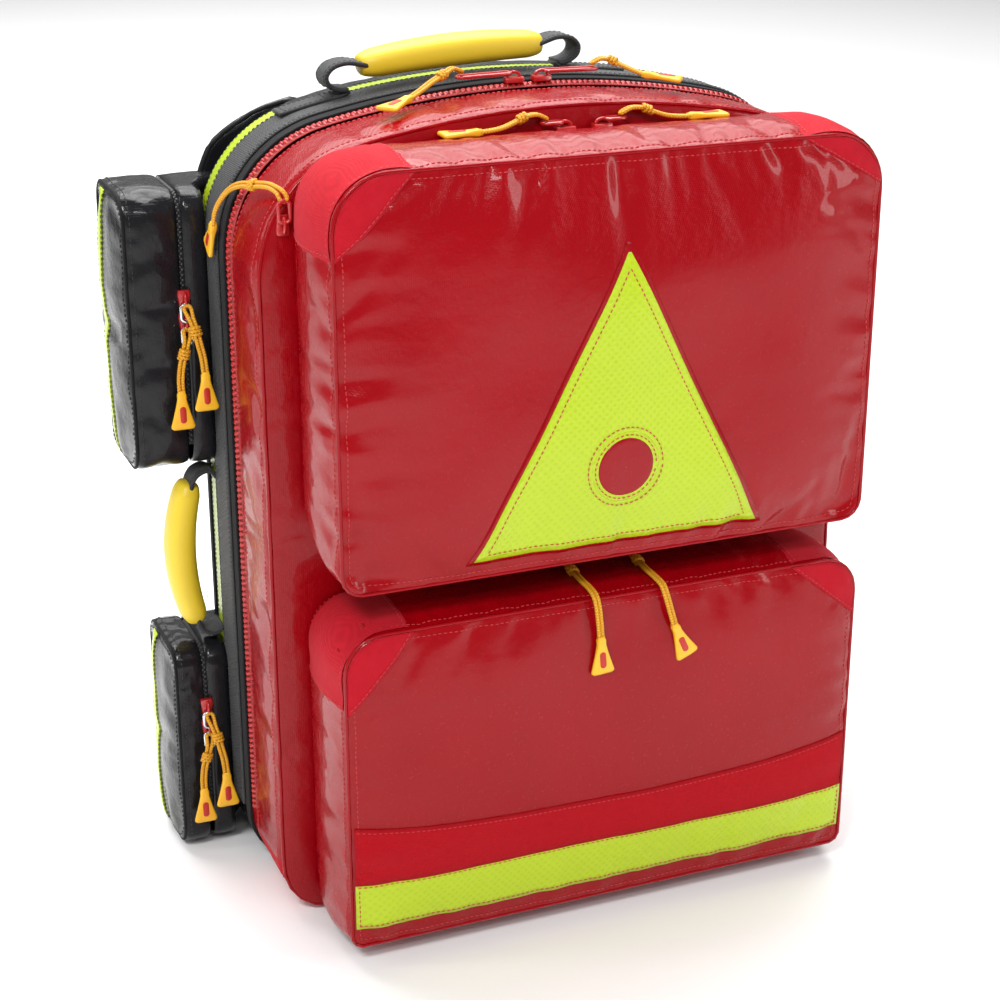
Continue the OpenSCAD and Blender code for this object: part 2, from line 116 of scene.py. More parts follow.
class Finish:
    """One material: its shader's fixed numbers, and nodes for what varies over the surface."""

    def __init__(self, name, colour, roughness, **fixed):
        self.material = bpy.data.materials.new(name)
        self.material.use_nodes = True
        self.material.diffuse_color = (*colour, 1)
        self.tree = self.material.node_tree
        self.shader = self.tree.nodes["Principled BSDF"]
        self.colour = (*colour, 1)
        self.shader.inputs["Base Color"].default_value = self.colour
        self.shader.inputs["Roughness"].default_value = roughness
        for socket, value in fixed.items():
            self.shader.inputs[socket.replace("_", " ")].default_value = value

    def node(self, kind, settings=None, values=None, out=0):
        node = self.tree.nodes.new("ShaderNode" + kind)
        for key, value in (settings or {}).items():
            if key == "stops":
                for stop, (place, shade) in zip(node.color_ramp.elements, value):
                    stop.position, stop.color = place, (shade, shade, shade, 1)
            else:
                setattr(node, key, value)
        for key, value in (values or {}).items():
            if isinstance(value, Line):
                self.tree.links.new(value.socket, node.inputs[key])
            else:
                node.inputs[key].default_value = value
        return Line(node.outputs[out])

    def feed(self, socket, line):
        self.tree.links.new(line.socket, self.shader.inputs[socket])

    def place(self):
        """Where a point is, in metres, as three lines."""
        xyz = self.node("TexCoord", out=3)
        return xyz, [self.node("SeparateXYZ", None, {0: xyz}, i) for i in range(3)]

    def noise(self, scale, detail=2, rough=0.5):
        return self.node("TexNoise", None, {"Vector": self.node("TexCoord", out=3), "Scale": scale,
                                            "Detail": detail,
                                            "Roughness": rough})

    def tint(self, other, mask):
        """The base colour, going over to another colour where the mask is 1."""
        mixed = self.node("Mix", {"data_type": "RGBA"}, {0: mask, 6: self.colour, 7: (*other, 1)}, 2)
        self.feed("Base Color", mixed)
        return mixed

    def relief(self, height, depth, strength=1.0):
        """Height of 0 to 1 over a real depth in metres."""
        self.feed("Normal", self.node("Bump", None,
                                      {"Strength": strength, "Distance": depth, "Height": height}))

    def sine(self, line, pitch, shift=0.0):
        """0 to 1 and back once in every pitch."""
        return 0.5 + 0.5 * self.node("Math", {"operation": "SINE"}, {0: line * (2 * pi / pitch) + shift})


floor_finish = Finish("studio_floor", (0.97, 0.97, 0.97), 0.9)
floor_finish.feed("Roughness", 0.8 + 0.08 * floor_finish.noise(3))
floor_mesh = bpy.data.meshes.new("studio_floor")
floor_mesh.from_pydata([(-6, -6, -0.0006), (6, -6, -0.0006), (6, 6, -0.0006), (-6, 6, -0.0006)], [],
                       [(0, 1, 2, 3)])
floor_mesh.materials.append(floor_finish.material)
studio_floor = bpy.data.objects.new("studio_floor", floor_mesh)
bpy.context.scene.collection.objects.link(studio_floor)

# ---- zipper pulls: cord, knot and tag ----
# Each pull is 2.6 mm yellow cord, doubled through the slider's ring, whipped once below it, and set in a
# flared rubber tag with a plain red bar let into each face. The cord follows its given route.


class Goods:
    """Collects points in millimetres and faces with a finish and a run along the strip, for one mesh."""

    def __init__(self):
        self.points, self.faces, self.finishes, self.runs = [], [], [], []

    def add(self, points, faces, finish=0, runs=None):
        start = len(self.points)
        self.points += [tuple(p) for p in points]
        for face in faces:
            self.faces.append([start + i for i in face])
            self.finishes.append(finish)
            self.runs.append([runs[i] for i in face] if runs else [(0, 0)] * len(face))

    def grid(self, rows, finish=0, closed=False, ends=False, runs=None):
        """Faces between rows of as many points each; closed joins each row's two ends."""
        n, m = len(rows[0]), len(rows)
        start_points = [p for row in rows for p in row]
        faces = []
        for j in range(m - 1):
            for i in range(n if closed else n - 1):
                k = (i + 1) % n
                faces.append((j * n + i, j * n + k, (j + 1) * n + k, (j + 1) * n + i))
        if ends:
            faces += [tuple(range(n))[::-1], tuple((m - 1) * n + i for i in range(n))]
        self.add(start_points, faces, finish, [r for row in runs for r in row] if runs else None)

    def make(self, name, finishes, body):
        """Links the mesh as a piece; what would sink into the floor is pressed flat on it."""
        mesh = bpy.data.meshes.new(name)
        mesh.from_pydata([(x / 1000, y / 1000, max(z, 0.5) / 1000) for x, y, z in self.points], [],
                         self.faces)
        for finish in finishes:
            mesh.materials.append(finish.material)
        mesh.polygons.foreach_set("material_index", self.finishes)
        mesh.polygons.foreach_set("use_smooth", [True] * len(self.faces))
        run = mesh.uv_layers.new(name="run")
        run.data.foreach_set("uv", [v for face in self.runs for r in face for v in r])
        mesh.validate()
        piece = bpy.data.objects.new(name, mesh)
        bpy.context.scene.collection.objects.link(piece)
        if body:
            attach(piece, body)
        return piece


def lengths(points):
    run = [0.0]
    for a, b in zip(points, points[1:]):
        run.append(run[-1] + (Vector(b) - Vector(a)).length)
    return run


def even(points, count):
    """The same line with count + 1 points, evenly spaced."""
    run, out, k = lengths(points), [], 0
    for i in range(count + 1):
        d = run[-1] * i / count
        while k < len(run) - 2 and run[k + 1] < d:
            k += 1
        t = (d - run[k]) / max(run[k + 1] - run[k], 1e-9)
        out.append(Vector(points[k]).lerp(Vector(points[k + 1]), min(max(t, 0), 1)))
    return out


def eased(points, per=6):
    """A smooth curve through the points of a route."""
    p = [Vector(q) for q in points]
    p = [2 * p[0] - p[1]] + p + [2 * p[-1] - p[-2]]
    out = []
    for a, b, c, d in zip(p, p[1:], p[2:], p[3:]):
        for k in range(per):
            t = k / per
            out.append(0.5 * (2 * b + (c - a) * t + (2 * a - 5 * b + 4 * c - d) * t * t
                              + (3 * b - a - 3 * c + d) * t ** 3))
    return out + [p[-2]]


def carried(path, up):
    """At each point of a path: its way along, across and out, the first out being up."""
    out, last = [], Vector(up)
    for i, p in enumerate(path):
        along = (Vector(path[min(i + 1, len(path) - 1)]) - Vector(path[max(i - 1, 0)])).normalized()
        last = (last - along * last.dot(along)).normalized()
        out.append((along, along.cross(last), last))
    return out


def tube(goods, path, radius, finish=0, sides=8, closed=False, up=(0, 0, 1), ends=True):
    """A round section along a path; radius is one number, or one for each point."""
    path = [Vector(p) for p in path]
    if closed:
        path = path + path[:2]
    up = up if abs((path[1] - path[0]).normalized().dot(Vector(up))) < 0.95 else (0.3, 1, 0.2)
    rows, run = [], lengths(path)
    for i, (p, (_, across, out)) in enumerate(zip(path, carried(path, up))):
        r = radius[i] if isinstance(radius, (list, tuple)) else radius
        rows.append([p + r * (cos(2 * pi * k / sides) * across + sin(2 * pi * k / sides) * out)
                     for k in range(sides)])
    if closed:
        rows = rows[:-2] + [rows[0]]
    runs = [[(run[j] / 1000, k / sides) for k in range(sides)] for j in range(len(rows))]
    goods.grid(rows, finish, True, ends and not closed, runs)


cord_finish = Finish("pull_cord", (0.92, 0.50, 0.015), 0.55)
along, across = [cord_finish.node("SeparateXYZ", None, {0: cord_finish.node("UVMap", {"uv_map": "run"})},
                                  i) for i in (0, 1)]
braid = cord_finish.sine(along * 520 + across * 2, 1) * cord_finish.sine(along * 520 - across * 2, 1)
cord_finish.tint((0.62, 0.27, 0.004), 1 - braid)
cord_finish.relief(braid, 0.0004)
tag_finish = Finish("pull_tag", (0.93, 0.52, 0.02), 0.42)
grain = tag_finish.noise(900, 3)
tag_finish.tint((0.80, 0.40, 0.01), grain)
tag_finish.relief(grain, 0.00008)
inset_finish = Finish("tag_inset", (0.55, 0.02, 0.01), 0.4)
inset_finish.tint((0.4, 0.012, 0.008), inset_finish.noise(500))

slider_finish = Finish("slider_lacquer", (0.50, 0.012, 0.012), 0.28, Coat_Weight=0.5, Coat_Roughness=0.08)
worn = slider_finish.noise(700, 3)
slider_finish.feed("Roughness", 0.22 + 0.2 * worn)
slider_finish.tint((0.36, 0.008, 0.01), worn)
steel_finish = Finish("ring_steel", (0.68, 0.68, 0.70), 0.2, Metallic=1.0)
steel_finish.feed("Roughness", 0.14 + 0.18 * steel_finish.noise(400, 3))


def slider(goods, spin, ring_l, ring_dir, body=0, ring=1):
    """Foot at the origin on a track along X: tapered body, arched bridge and an oval wire ring."""
    rows = []
    for x, w in ((-6.4, 2.6), (-6, 3.2), (-2, 3.7), (3.5, 4.4), (6, 4.1), (6.5, 3.4)):
        rows.append([spin @ Vector((-ring_dir * x, s * w * k, z)) for s, k, z in (
            (-1, 1, 0), (-1, 1, 2.4), (-1, 0.8, 3.4), (1, 0.8, 3.4), (1, 1, 2.4), (1, 1, 0))])
    goods.grid(rows, body, True, True)
    bridge = [(-4.5, 0, 3.2), (-4, 0, 4.9), (-2, 0, 6.2), (1, 0, 6.6), (3.6, 0, 5.6), (4.6, 0, 3.2)]
    tube(goods, eased([spin @ Vector((ring_dir * x, y, z)) for x, y, z in bridge], 3), 1.15, body, 6,
         up=spin @ Vector((0, 1, 0)))
    half, turn, loop = ring_l / 2 - 3.1, 2.9, []
    for k in range(28):
        a = 2 * pi * k / 28
        shift = half if cos(a) > 0 else -half
        loop.append(spin @ Vector((ring_dir * (ring_l / 2 + 2) + shift + turn * cos(a), turn * 1.25 * sin(a),
                                   6.2)))
    tube(goods, loop, 1.25, ring, 8, True, up=spin @ Vector((0, 0, 1)))


def squarish(c, power):
    """A cosine or sine pushed outwards, for a section between round and square."""
    return abs(c) ** power * (1 if c > 0 else -1)


def tag(goods, spin):
    """A moulded tag, 27 mm long: round neck, flat flared foot, raised rim and an inset bar on each face."""
    rows = []
    for k in range(23):
        t = k / 22
        flare = 3.1 + 5.2 * max(0, (t - 0.22) / 0.7) ** 1.1 if t < 0.92 else 8.3 - 16 * (t - 0.92) ** 1.3
        thick = 2.5 - 0.75 * min(1, max(0, (t - 0.12) / 0.3)) if t < 0.9 else 1.75 + 0.3 * (t - 0.9)
        if t > 0.97:
            flare, thick = flare - 0.9, thick - 0.8
        if t < 0.05:
            flare, thick = 2.5, 2.0
        rows.append([spin @ Vector((27 * t, flare * squarish(cos(a), 0.55), thick * squarish(sin(a), 0.55)))
                     for a in [2 * pi * j / 20 for j in range(20)]])
    goods.grid(rows, 0, True, True)
    for face in (-1, 1):
        bar = []
        for lift, grow in ((1.35, 0.35), (2.05, 0.25), (2.15, 0)):
            bar.append([spin @ Vector((16.5 + (3.6 if cos(a) > 0 else -3.6) + (1.9 + grow) * cos(a),
                                       (1.9 + grow) * sin(a) * face,
                                       face * lift)) for a in [2 * pi * j / 20 for j in range(20)]])
        bar.append([spin @ Vector((16.5, 0, face * 2.15))] * 20)
        goods.grid(bar, 1, True)


def turned(x, y, z):
    """Turned about X, then Y, then Z."""
    return Matrix.Rotation(radians(z), 4, "Z") @ Matrix.Rotation(radians(y), 4,
            "Y") @ Matrix.Rotation(radians(x), 4, "X")


def pull(name, node, body, route, turn, out, slider_at=None, ring_l=14, ring_dir=1, ring_finish=None,
         slider_node=None):
    path = eased(route)
    frames = carried(path, out)
    half = 1.33
    goods = Goods()
    reach = lengths(path)
    left, right = [], []
    for p, (_, across, outward), d in zip(path, frames, reach):
        open_up = half + 0.9 * exp(-((d - 1) / 5) ** 2)
        left.append(p + across * open_up)
        right.append(p - across * open_up)
    start, (first, side, outward) = path[0], frames[0]
    loop = [start - first * 1.6 * sin(pi * k / 6) + side * 2.2 * cos(pi * k / 6)
            - outward * 0.4 * sin(pi * k / 6)
            for k in range(1, 6)]
    tube(goods, left[::-1] + loop + right, 1.32, 0, 8, up=out)
    knot_at = min(range(len(path)), key=lambda i: abs(reach[i] - reach[-1] * 0.36))
    heading, side, outward = frames[knot_at]
    whipping = [path[knot_at] + heading * (k * 0.19 - 3.4)
                + (side * cos(k * pi / 6) * 3.1 + outward * sin(k * pi / 6) * 2.1)
                for k in range(37)]
    tube(goods, whipping, 1.15, 0, 6, up=heading)
    cord = goods.make(name, [cord_finish], body)
    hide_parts(node)
    foot = Goods()
    tag(foot, Matrix.Translation(path[-1]) @ turned(*turn) @ Matrix.Translation((-1.5, 0, 0)))
    tag_piece = foot.make(name + "_tag", [tag_finish, inset_finish], body)
    if slider_at is not None:
        metal = Goods()
        slider(metal, slider_at, ring_l, ring_dir)
        metal_piece = metal.make(name + "_slider", [slider_finish, ring_finish or slider_finish], body)
        if slider_node:
            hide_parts(slider_node)
        bevel = metal_piece.modifiers.new("soft_edges", "BEVEL")
        bevel.width, bevel.segments, bevel.angle_limit = 0.0004, 2, radians(40)
    path[0] / 1000
    [p / 1000 for p in path]


arch_radius = 647


def crown_at(x, high):
    """Height of the pack's arched top at x."""
    return high - arch_radius + sqrt(arch_radius ** 2 - x * x)


side_zip_x, pocket_zip_y = 229.5, -80.6


main_routes = {"left": [(-48, -6, 560), (-54, -8, 562), (-62, -13, 559.5), (-72, -18, 556), (-82, -24, 552),
                        (-92, -30, 548.5)],
               "right": [(48, -6, 560), (53, -7, 562), (59, -10, 561), (65, -14, 558), (71, -19, 555),
                         (77, -24, 552.5)]}
for side, s in (("left", -1), ("right", 1)):
    seat = Matrix.Translation((s * 10, -6, crown_at(10, 550) + 0.3)) @ turned(0, s, 0)
    pull(f"main_pull_{side}_cord", f"main_pull_{side}", f"main_zip_slider_{side}", main_routes[side],
         (0, 173, 34) if s < 0 else (0, 6, -34), (0, 0, 1), seat, 38, s, None, f"main_slider_{side}")
    x = -6 if s < 0 else 20
    route = [(x + s * a, pocket_zip_y + b, 530 + c) for a, b, c in (
        (14, 0, 10), (20, -1, 12.5), (28, -2, 12), (36, -3, 9), (44, -4, 6.5), (52, -5, 5.5), (60, -5, 5))]
    pull(f"upper_pull_{side}_cord", f"upper_pull_{side}", f"upper_zip_slider_{side}", route,
         (0, 180 if s < 0 else 0, 0),
         (0, 0, 1), Matrix.Translation((x, pocket_zip_y, 530.3)), 14, s, None, f"upper_slider_{side}")
    x0, x1 = (-14, -11) if s < 0 else (34, 43)
    dx = x1 - x0
    route = [(x0, -82, 248), (x0, -92, 249), (x0, -112, 246), (x0, -132, 244), (x0, -146, 243.5),
             (x0 + 0.15 * dx, -154, 241), (x0 + 0.3 * dx, -158, 234), (x0 + 0.6 * dx, -159, 224),
             (x1, -159, 212)]
    pull(f"lower_pull_{side}_cord", f"lower_pull_{side}", f"lower_zip_slider_{side}", route,
         (90, 86 if s < 0 else 66, 0),
         (0, 0, 1), Matrix.Translation((x + 3, pocket_zip_y, 238.3)), 14, s, None, f"lower_slider_{side}")
    for tier, za, zb in (("upper", 415, 399), ("lower", 115, 99)):
        for which, z, route in (
                ("a", za, ((0, -9, -4), (-1, -13, -9), (-3, -16, -17), (-5, -17, -27), (-7, -17, -37),
                           (-8, -17, -48))),
                ("b", zb, ((1, -9, -4), (2, -12, -9), (4, -12, -17), (6, -10, -27), (7, -9, -37),
                           (7, -9, -46)))):
            seat = Matrix.Translation((s * side_zip_x, 34.7, z)) @ turned(90, 0, 0) @ turned(0, 0, 90)
            pull(f"side_pull_{side}_{tier}_{which}_cord", f"side_pull_{side}_{tier}_{which}",
                 f"side_slider_{side}_{tier}_{which}",
                 [(s * (side_zip_x + a), 35 + b, z + c) for a, b, c in route],
                 (90, 90, 0), (0, -1, 0), seat, 12, -1, steel_finish)
pull("middle_pull_cord", "middle_pull", "middle_zip_slider",
     [(-192, -81, 503), (-194, -79, 507), (-197, -71, 509), (-199, -60, 508), (-202, -44, 505),
      (-204, -28, 502),
      (-207, -14, 497), (-211, -5, 489), (-214.5, -1, 480), (-215.5, 1, 471)], (90, 49, 90), (-0.6, 0, 1),
     Matrix.Translation((-192, -75.3, 486)) @ turned(90, 0, 0) @ turned(0, 0, 90), 14, 1, None,
     "middle_slider")

# ---- the body ----
# The back half of the pack: an open box of black tarpaulin on thin foam, lined in grey, sewn from one long
# gusset and a flat back panel. Its edge at the zipper is bound with black tape.


def arc(cx, cz, r, a0, a1, n=12):
    return [(cx + r * cos(radians(a0 + (a1 - a0) * i / n)), cz + r * sin(radians(a0 + (a1 - a0) * i / n)))
            for i in range(n + 1)]


def body_arcs(half, low, high, grow=0):
    """Corner arcs of the arched outline, and the points of its crown."""
    foot, shoulder = 40, 85
    cx, crown = half - shoulder, high - arch_radius
    cz = crown + sqrt((arch_radius - shoulder) ** 2 - cx * cx)
    at = degrees(atan2(cz - crown, cx))
    return ([arc(half - foot, low + foot, foot + grow, -90, 0), arc(cx, cz, shoulder + grow, 0, at),
             arc(-cx, cz, shoulder + grow, 180 - at, 180),
             arc(-half + foot, low + foot, foot + grow, 180, 270)],
            arc(0, crown, arch_radius + grow, at, 180 - at, 40)[1:-1])


def box_arcs(x0, x1, z0, z1, rl, rh, grow=0):
    return ([arc(x1 - rl, z0 + rl, rl + grow, -90, 0), arc(x1 - rh, z1 - rh, rh + grow, 0, 90),
             arc(x0 + rh, z1 - rh, rh + grow, 90, 180), arc(x0 + rl, z0 + rl, rl + grow, 180, 270)], [])


def flat_even(points, count):
    return [(p.x, p.y) for p in even([(x, z, 0) for x, z in points], count)]


def four_sides(arcs, crown, across, up):
    """The outline as four runs of even points: along the bottom, up the right, back over the top, down the left."""
    br, tr, tl, bl = arcs
    mid = len(br) // 2
    return [flat_even(bl[mid:] + br[:mid + 1], across), flat_even(br[mid:] + tr[:mid + 1], up),
            flat_even(tr[mid:] + crown + tl[:mid + 1], across), flat_even(tl[mid:] + bl[:mid + 1], up)]


def outward(ring):
    """The outline's outward direction at each point of a closed ring."""
    out = []
    for i in range(len(ring)):
        (x0, z0), (x1, z1) = ring[i - 1], ring[(i + 1) % len(ring)]
        d = hypot(x1 - x0, z1 - z0)
        out.append(((z1 - z0) / d, (x0 - x1) / d))
    return out


class Pouch:
    """A sewn box: gusset rows rise from its rim (w = 0) to the seam, where its face closes it."""

    def __init__(self, arcs, crown, across, up, rows, place, puff=3, dome=6, open_low=False, finish_at=None,
                 lean=None):
        self.place, self.across, self.up, self.rows = place, across, up, rows
        bottom, right, top, left = four_sides(arcs, crown, across, up)
        ring = bottom[:-1] + right[:-1] + top[:-1] + left[:-1]
        self.ring, self.outs, self.depth = ring, outward(ring), rows[-1]
        lean = lean or (lambda u, v, w: (u, v))
        u_axis, v_axis, w_axis = (Vector(place(*a)) - Vector(place(0, 0, 0))
                                  for a in ((1, 0, 0), (0, 1, 0), (0, 0, 1)))
        turned_in = u_axis.cross(v_axis).dot(w_axis) < 0
        goods, n = Goods(), len(ring)
        goods_faces = []
        self.low = min(v for _, v in ring)
        for w in rows:
            t = w / self.depth
            grow = puff * sin(pi * t) ** 0.8 if 0 < t < 1 else 0
            for (u, v), (a, b) in zip(ring, self.outs):
                u, v = lean(u + a * grow, v + b * grow, w)
                goods.points.append(Vector(place(u, v, w)))
        for j in range(len(rows) - 1):
            for i in range(n):
                k = (i + 1) % n
                if not (open_low and max(ring[i][1], ring[k][1]) < self.low + 1.5):
                    goods_faces.append(((j * n + i, j * n + k, (j + 1) * n + k, (j + 1) * n + i), "gusset",
                                        i))
        self.seam = list(range((len(rows) - 1) * n, len(rows) * n))
        b, t = bottom, top[::-1]
        l, r = left[::-1], right
        index = {}
        for j in range(up + 1):
            for i in range(across + 1):
                if j == 0:
                    index[i, j] = self.seam[i]
                elif i == across:
                    index[i, j] = self.seam[across + j]
                elif j == up:
                    index[i, j] = self.seam[across + up + across - i]
                elif i == 0:
                    index[i, j] = self.seam[(2 * across + up + up - j) % n]
                else:
                    s, q = i / across, j / up
                    spot = []
                    for c in (0, 1):
                        spot.append((1 - q) * b[i][c] + q * t[i][c] + (1 - s) * l[j][c] + s * r[j][c]
                                    - (1 - s) * (1 - q) * b[0][c] - s * (1 - q) * b[-1][c]
                                    - (1 - s) * q * t[0][c] - s * q * t[-1][c])
                    rise = dome * (1 - abs(2 * s - 1) ** 3) * (1 - abs(2 * q - 1) ** 3)
                    index[i, j] = len(goods.points)
                    goods.points.append(Vector(place(*spot, self.depth + rise)))
        for j in range(up):
            for i in range(across):
                goods_faces.append(((index[i, j], index[i + 1, j], index[i + 1, j + 1], index[i, j + 1]),
                                    "face", i))
        for corners, part, i in goods_faces:
            goods.faces.append(list(corners[::-1] if turned_in else corners))
            goods.finishes.append(finish_at(part, i, self) if finish_at else 0)
            goods.runs.append([(0, 0)] * 4)
        self.goods = goods
        self.rim = list(range(n))
        self.near = [(k % n, self.depth - rows[k // n]) if k < len(rows) * n else (0, 99)
                     for k in range(len(goods.points))]
        step = hypot(ring[across // 2][0] - ring[across // 2 + 1][0],
                     ring[across // 2][1] - ring[across // 2 + 1][1])
        for (i, j), k in index.items():
            if 0 < i < across and 0 < j < up:
                inset, place = min((j, i), (across - i, across + j), (up - j, 2 * across + up - i),
                                   (i, 2 * (across + up) - j))
                self.near[k] = (place % n, inset * step)

    def pucker(self, piece, deep, wide, seed, billow=0.0):
        """Small folds square to the seam where the thread gathers the fabric, and a slow swell over the face."""
        face, n = Vector(self.place(0, 0, 1)) - Vector(self.place(0, 0, 0)), len(self.ring)
        step = hypot(self.ring[1][0] - self.ring[0][0], self.ring[1][1] - self.ring[0][1])
        peak, reach, swell = 11, 60, 75
        for k, vertex in enumerate(piece.data.vertices):
            i, d = self.near[k]
            if 0 < d < reach:
                (a, b), place = self.outs[i], i * step
                gather = noise(Vector((place / wide, seed,
                                       0))) + 0.6 * noise(Vector((place / wide * 2.1, seed + 9,
                                                                  d / reach))) - 0.25
                move = deep * gather * d / peak * exp(1 - d / peak)
                way = face if k >= len(self.rows) * n else (Vector(self.place(a, b, 0))
                        - Vector(self.place(0, 0, 0))) * 0.6
                vertex.co += way * move / 1000
            if billow and k >= len(self.rows) * n:
                c = vertex.co * 1000
                vertex.co += face * billow * noise(Vector((c.x / swell, c.y / swell,
                        c.z / swell + seed))) * min(1, d / 30) / 1000

    def sew(self, name, finishes, body, pressure=0, cap=6, held=(), slack=0.02, thick=1.6, detail=1,
            folds=None):
        """Makes the piece, blows it up between its seams, and keeps its skin to lay trim on."""
        piece = self.goods.make(name, finishes, None)
        if pressure:
            blow_up(piece, list(self.rim) + list(self.seam) + list(held), pressure, cap, slack)
        if folds:
            self.pucker(piece, *folds)
        for vertex in piece.data.vertices:
            vertex.co.z = max(vertex.co.z, 0.0009)
        if detail:
            piece.modifiers.new("rounder", "SUBSURF").render_levels = detail
            piece.modifiers["rounder"].levels = detail
        if thick:
            skin = piece.modifiers.new("thickness", "SOLIDIFY")
            skin.thickness, skin.offset = thick / 1000, -1
        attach(piece, body)
        bpy.context.view_layer.update()
        self.skin = BVHTree.FromObject(piece, bpy.context.evaluated_depsgraph_get())
        self.piece = piece
        return piece

    def onto(self, u, v, lift=0.0, start=45):
        """The skin's point under (u, v) on the face, lifted in millimetres, and its outward direction."""
        high, low = Vector(self.place(u, v, self.depth
                                      + start)) / 1000, Vector(self.place(u, v, self.depth)) / 1000
        away = (high - low).normalized()
        hit, normal, _, _ = self.skin.ray_cast(high, -away, 0.12)
        if hit is None:
            hit, normal = low, away
        if normal.dot(away) < 0:
            normal = -normal
        return hit * 1000 + normal * lift, normal

    def beside(self, place, w, lift=0.0):
        """The same on the gusset, at a place round the ring (a number of ring points) and a height w."""
        i = int(place) % len(self.ring)
        (u, v), (a, b) = self.ring[i], self.outs[i]
        high = Vector(self.place(u + a * 25, v + b * 25, w)) / 1000
        away = (high - Vector(self.place(u, v, w)) / 1000).normalized()
        hit, normal, _, _ = self.skin.ray_cast(high, -away, 0.05)
        if hit is None:
            hit, normal = Vector(self.place(u, v, w)) / 1000, away
        if normal.dot(away) < 0:
            normal = -normal
        return hit * 1000 + normal * lift, normal


def blow_up(piece, sewn, pressure, cap, slack):
    """Air pressure behind a slightly roomy fabric, sewn points held; no point moves further than the cap."""
    group = piece.vertex_groups.new(name="sewn")
    group.add(sewn, 1.0, "REPLACE")
    cloth = piece.modifiers.new("air", "CLOTH")
    cloth.settings.vertex_group_mass = "sewn"
    cloth.settings.use_pressure = True
    cloth.settings.uniform_pressure_force = pressure
    cloth.settings.effector_weights.gravity = 0
    cloth.settings.shrink_min = -slack
    cloth.settings.tension_stiffness = cloth.settings.compression_stiffness = 18
    cloth.settings.bending_stiffness = 0.35
    cloth.settings.air_damping = 3
    cloth.settings.quality = 5
    for k in range(1, 17):
        bpy.context.scene.frame_set(k)
    shaped = piece.evaluated_get(bpy.context.evaluated_depsgraph_get()).to_mesh()
    moves = [b.co - a.co for a, b in zip(piece.data.vertices, shaped.vertices)]
    piece.modifiers.remove(cloth)
    piece.vertex_groups.remove(group)
    bpy.context.scene.frame_set(1)
    for vertex, move in zip(piece.data.vertices, moves):
        most = cap(vertex.co * 1000) if callable(cap) else cap
        d = move.length * 1000
        vertex.co += move * (most * (1 - exp(-d / most)) / d if d > 1e-6 else 1)


def tarpaulin(name, colour, deep):
    """Fabric coated and calendered to a gloss: soft dents, a faint print of the weave, fine scuffs."""
    finish = Finish(name, colour, 0.27, Specular_IOR_Level=0.14, Coat_Weight=0.24, Coat_Roughness=0.05)
    _, (x, y, z) = finish.place()
    cloud, crease, scuff = finish.noise(9, 3), finish.noise(30, 4, 0.62), finish.noise(420, 4, 0.7)
    weave = finish.sine(x + y, 0.0012) * finish.sine(z - 0.3 * y, 0.0012)
    finish.tint(deep, 0.55 * cloud + 0.25 * crease + 0.1 * weave)
    finish.feed("Roughness", 0.15 + 0.10 * cloud + 0.10 * (scuff > 0.62))
    finish.relief(crease + 0.03 * weave + 0.02 * scuff, 0.0026, 0.8)
    return finish


black_tarpaulin = tarpaulin("black_tarpaulin", (0.012, 0.012, 0.014), (0.006, 0.006, 0.007))
red_tarpaulin = tarpaulin("red_tarpaulin", (0.34, 0.0008, 0.005), (0.22, 0.0004, 0.003))


def woven(name, colour, deep, pitch=0.0011, roughness=0.8, depth=0.0003, slant=0.0):
    """Plain weave: threads over and under in both directions, with uneven dye."""
    finish = Finish(name, colour, roughness, Specular_IOR_Level=0.2, Sheen_Weight=0.03, Sheen_Roughness=0.5)
    _, (x, y, z) = finish.place()
    warp, weft = finish.sine(x + slant * z + 0.6 * y, pitch), finish.sine(z + 0.4 * y - slant * x, pitch)
    cloth = warp * weft + (1 - warp) * (1 - weft)
    uneven = finish.noise(160, 3)
    finish.tint(deep, 0.6 * (1 - cloth) + 0.4 * uneven)
    finish.feed("Roughness", roughness - 0.1 + 0.15 * uneven)
    finish.relief(cloth, depth)
    return finish


black_cordura = woven("black_cordura", (0.016, 0.016, 0.018), (0.004, 0.004, 0.005), 0.0013)
red_cordura = woven("red_cordura", (0.56, 0.003, 0.018), (0.36, 0.001, 0.008), 0.0013)
thread = Finish("black_thread", (0.03, 0.03, 0.032), 0.6)
thread.tint((0.008, 0.008, 0.008), thread.noise(1200))
red_thread = Finish("red_thread", (0.62, 0.03, 0.03), 0.5)
red_thread.tint((0.35, 0.008, 0.01), red_thread.noise(1200))


def stitch(goods, spots, finish=0, pitch=3.6, long=2.7, radius=0.36):
    """Thread over a line of (point, outward) spots, one raised grain for each stitch."""
    points = [s[0] for s in spots]
    run, k = lengths(points), 0
    for i in range(int(run[-1] / pitch)):
        d = (i + 0.5) * pitch
        while run[k + 1] < d:
            k += 1
        t = (d - run[k]) / (run[k + 1] - run[k])
        at, out = points[k].lerp(points[k + 1], t), spots[k][1].lerp(spots[k + 1][1], t).normalized()
        way = (points[k + 1] - points[k]).normalized()
        side = way.cross(out)
        ends = [at - way * long / 2 - out * 0.1, at + way * long / 2 - out * 0.1]
        body = [at + way * (s * long * 0.27) + side * (a * radius) + out * b for s in (-1, 1)
                for a, b in ((-1, 0), (-0.6, radius * 1.1), (0.6, radius * 1.1), (1, 0))]
        goods.add([ends[0]] + body + [ends[1]], [(0, 2, 1), (0, 3, 2), (0, 4, 3), (1, 2, 6, 5), (2, 3, 7, 6),
                (3, 4, 8, 7),
                                                 (9, 5, 6), (9, 6, 7), (9, 7, 8)], finish)


def shifted(path, outs, lift, x=0, y=0):
    """Spots on a path, lifted off it and moved along X or Y."""
    return [(p + o * lift + Vector((x, y, 0)), o) for p, o in zip(path, outs)]


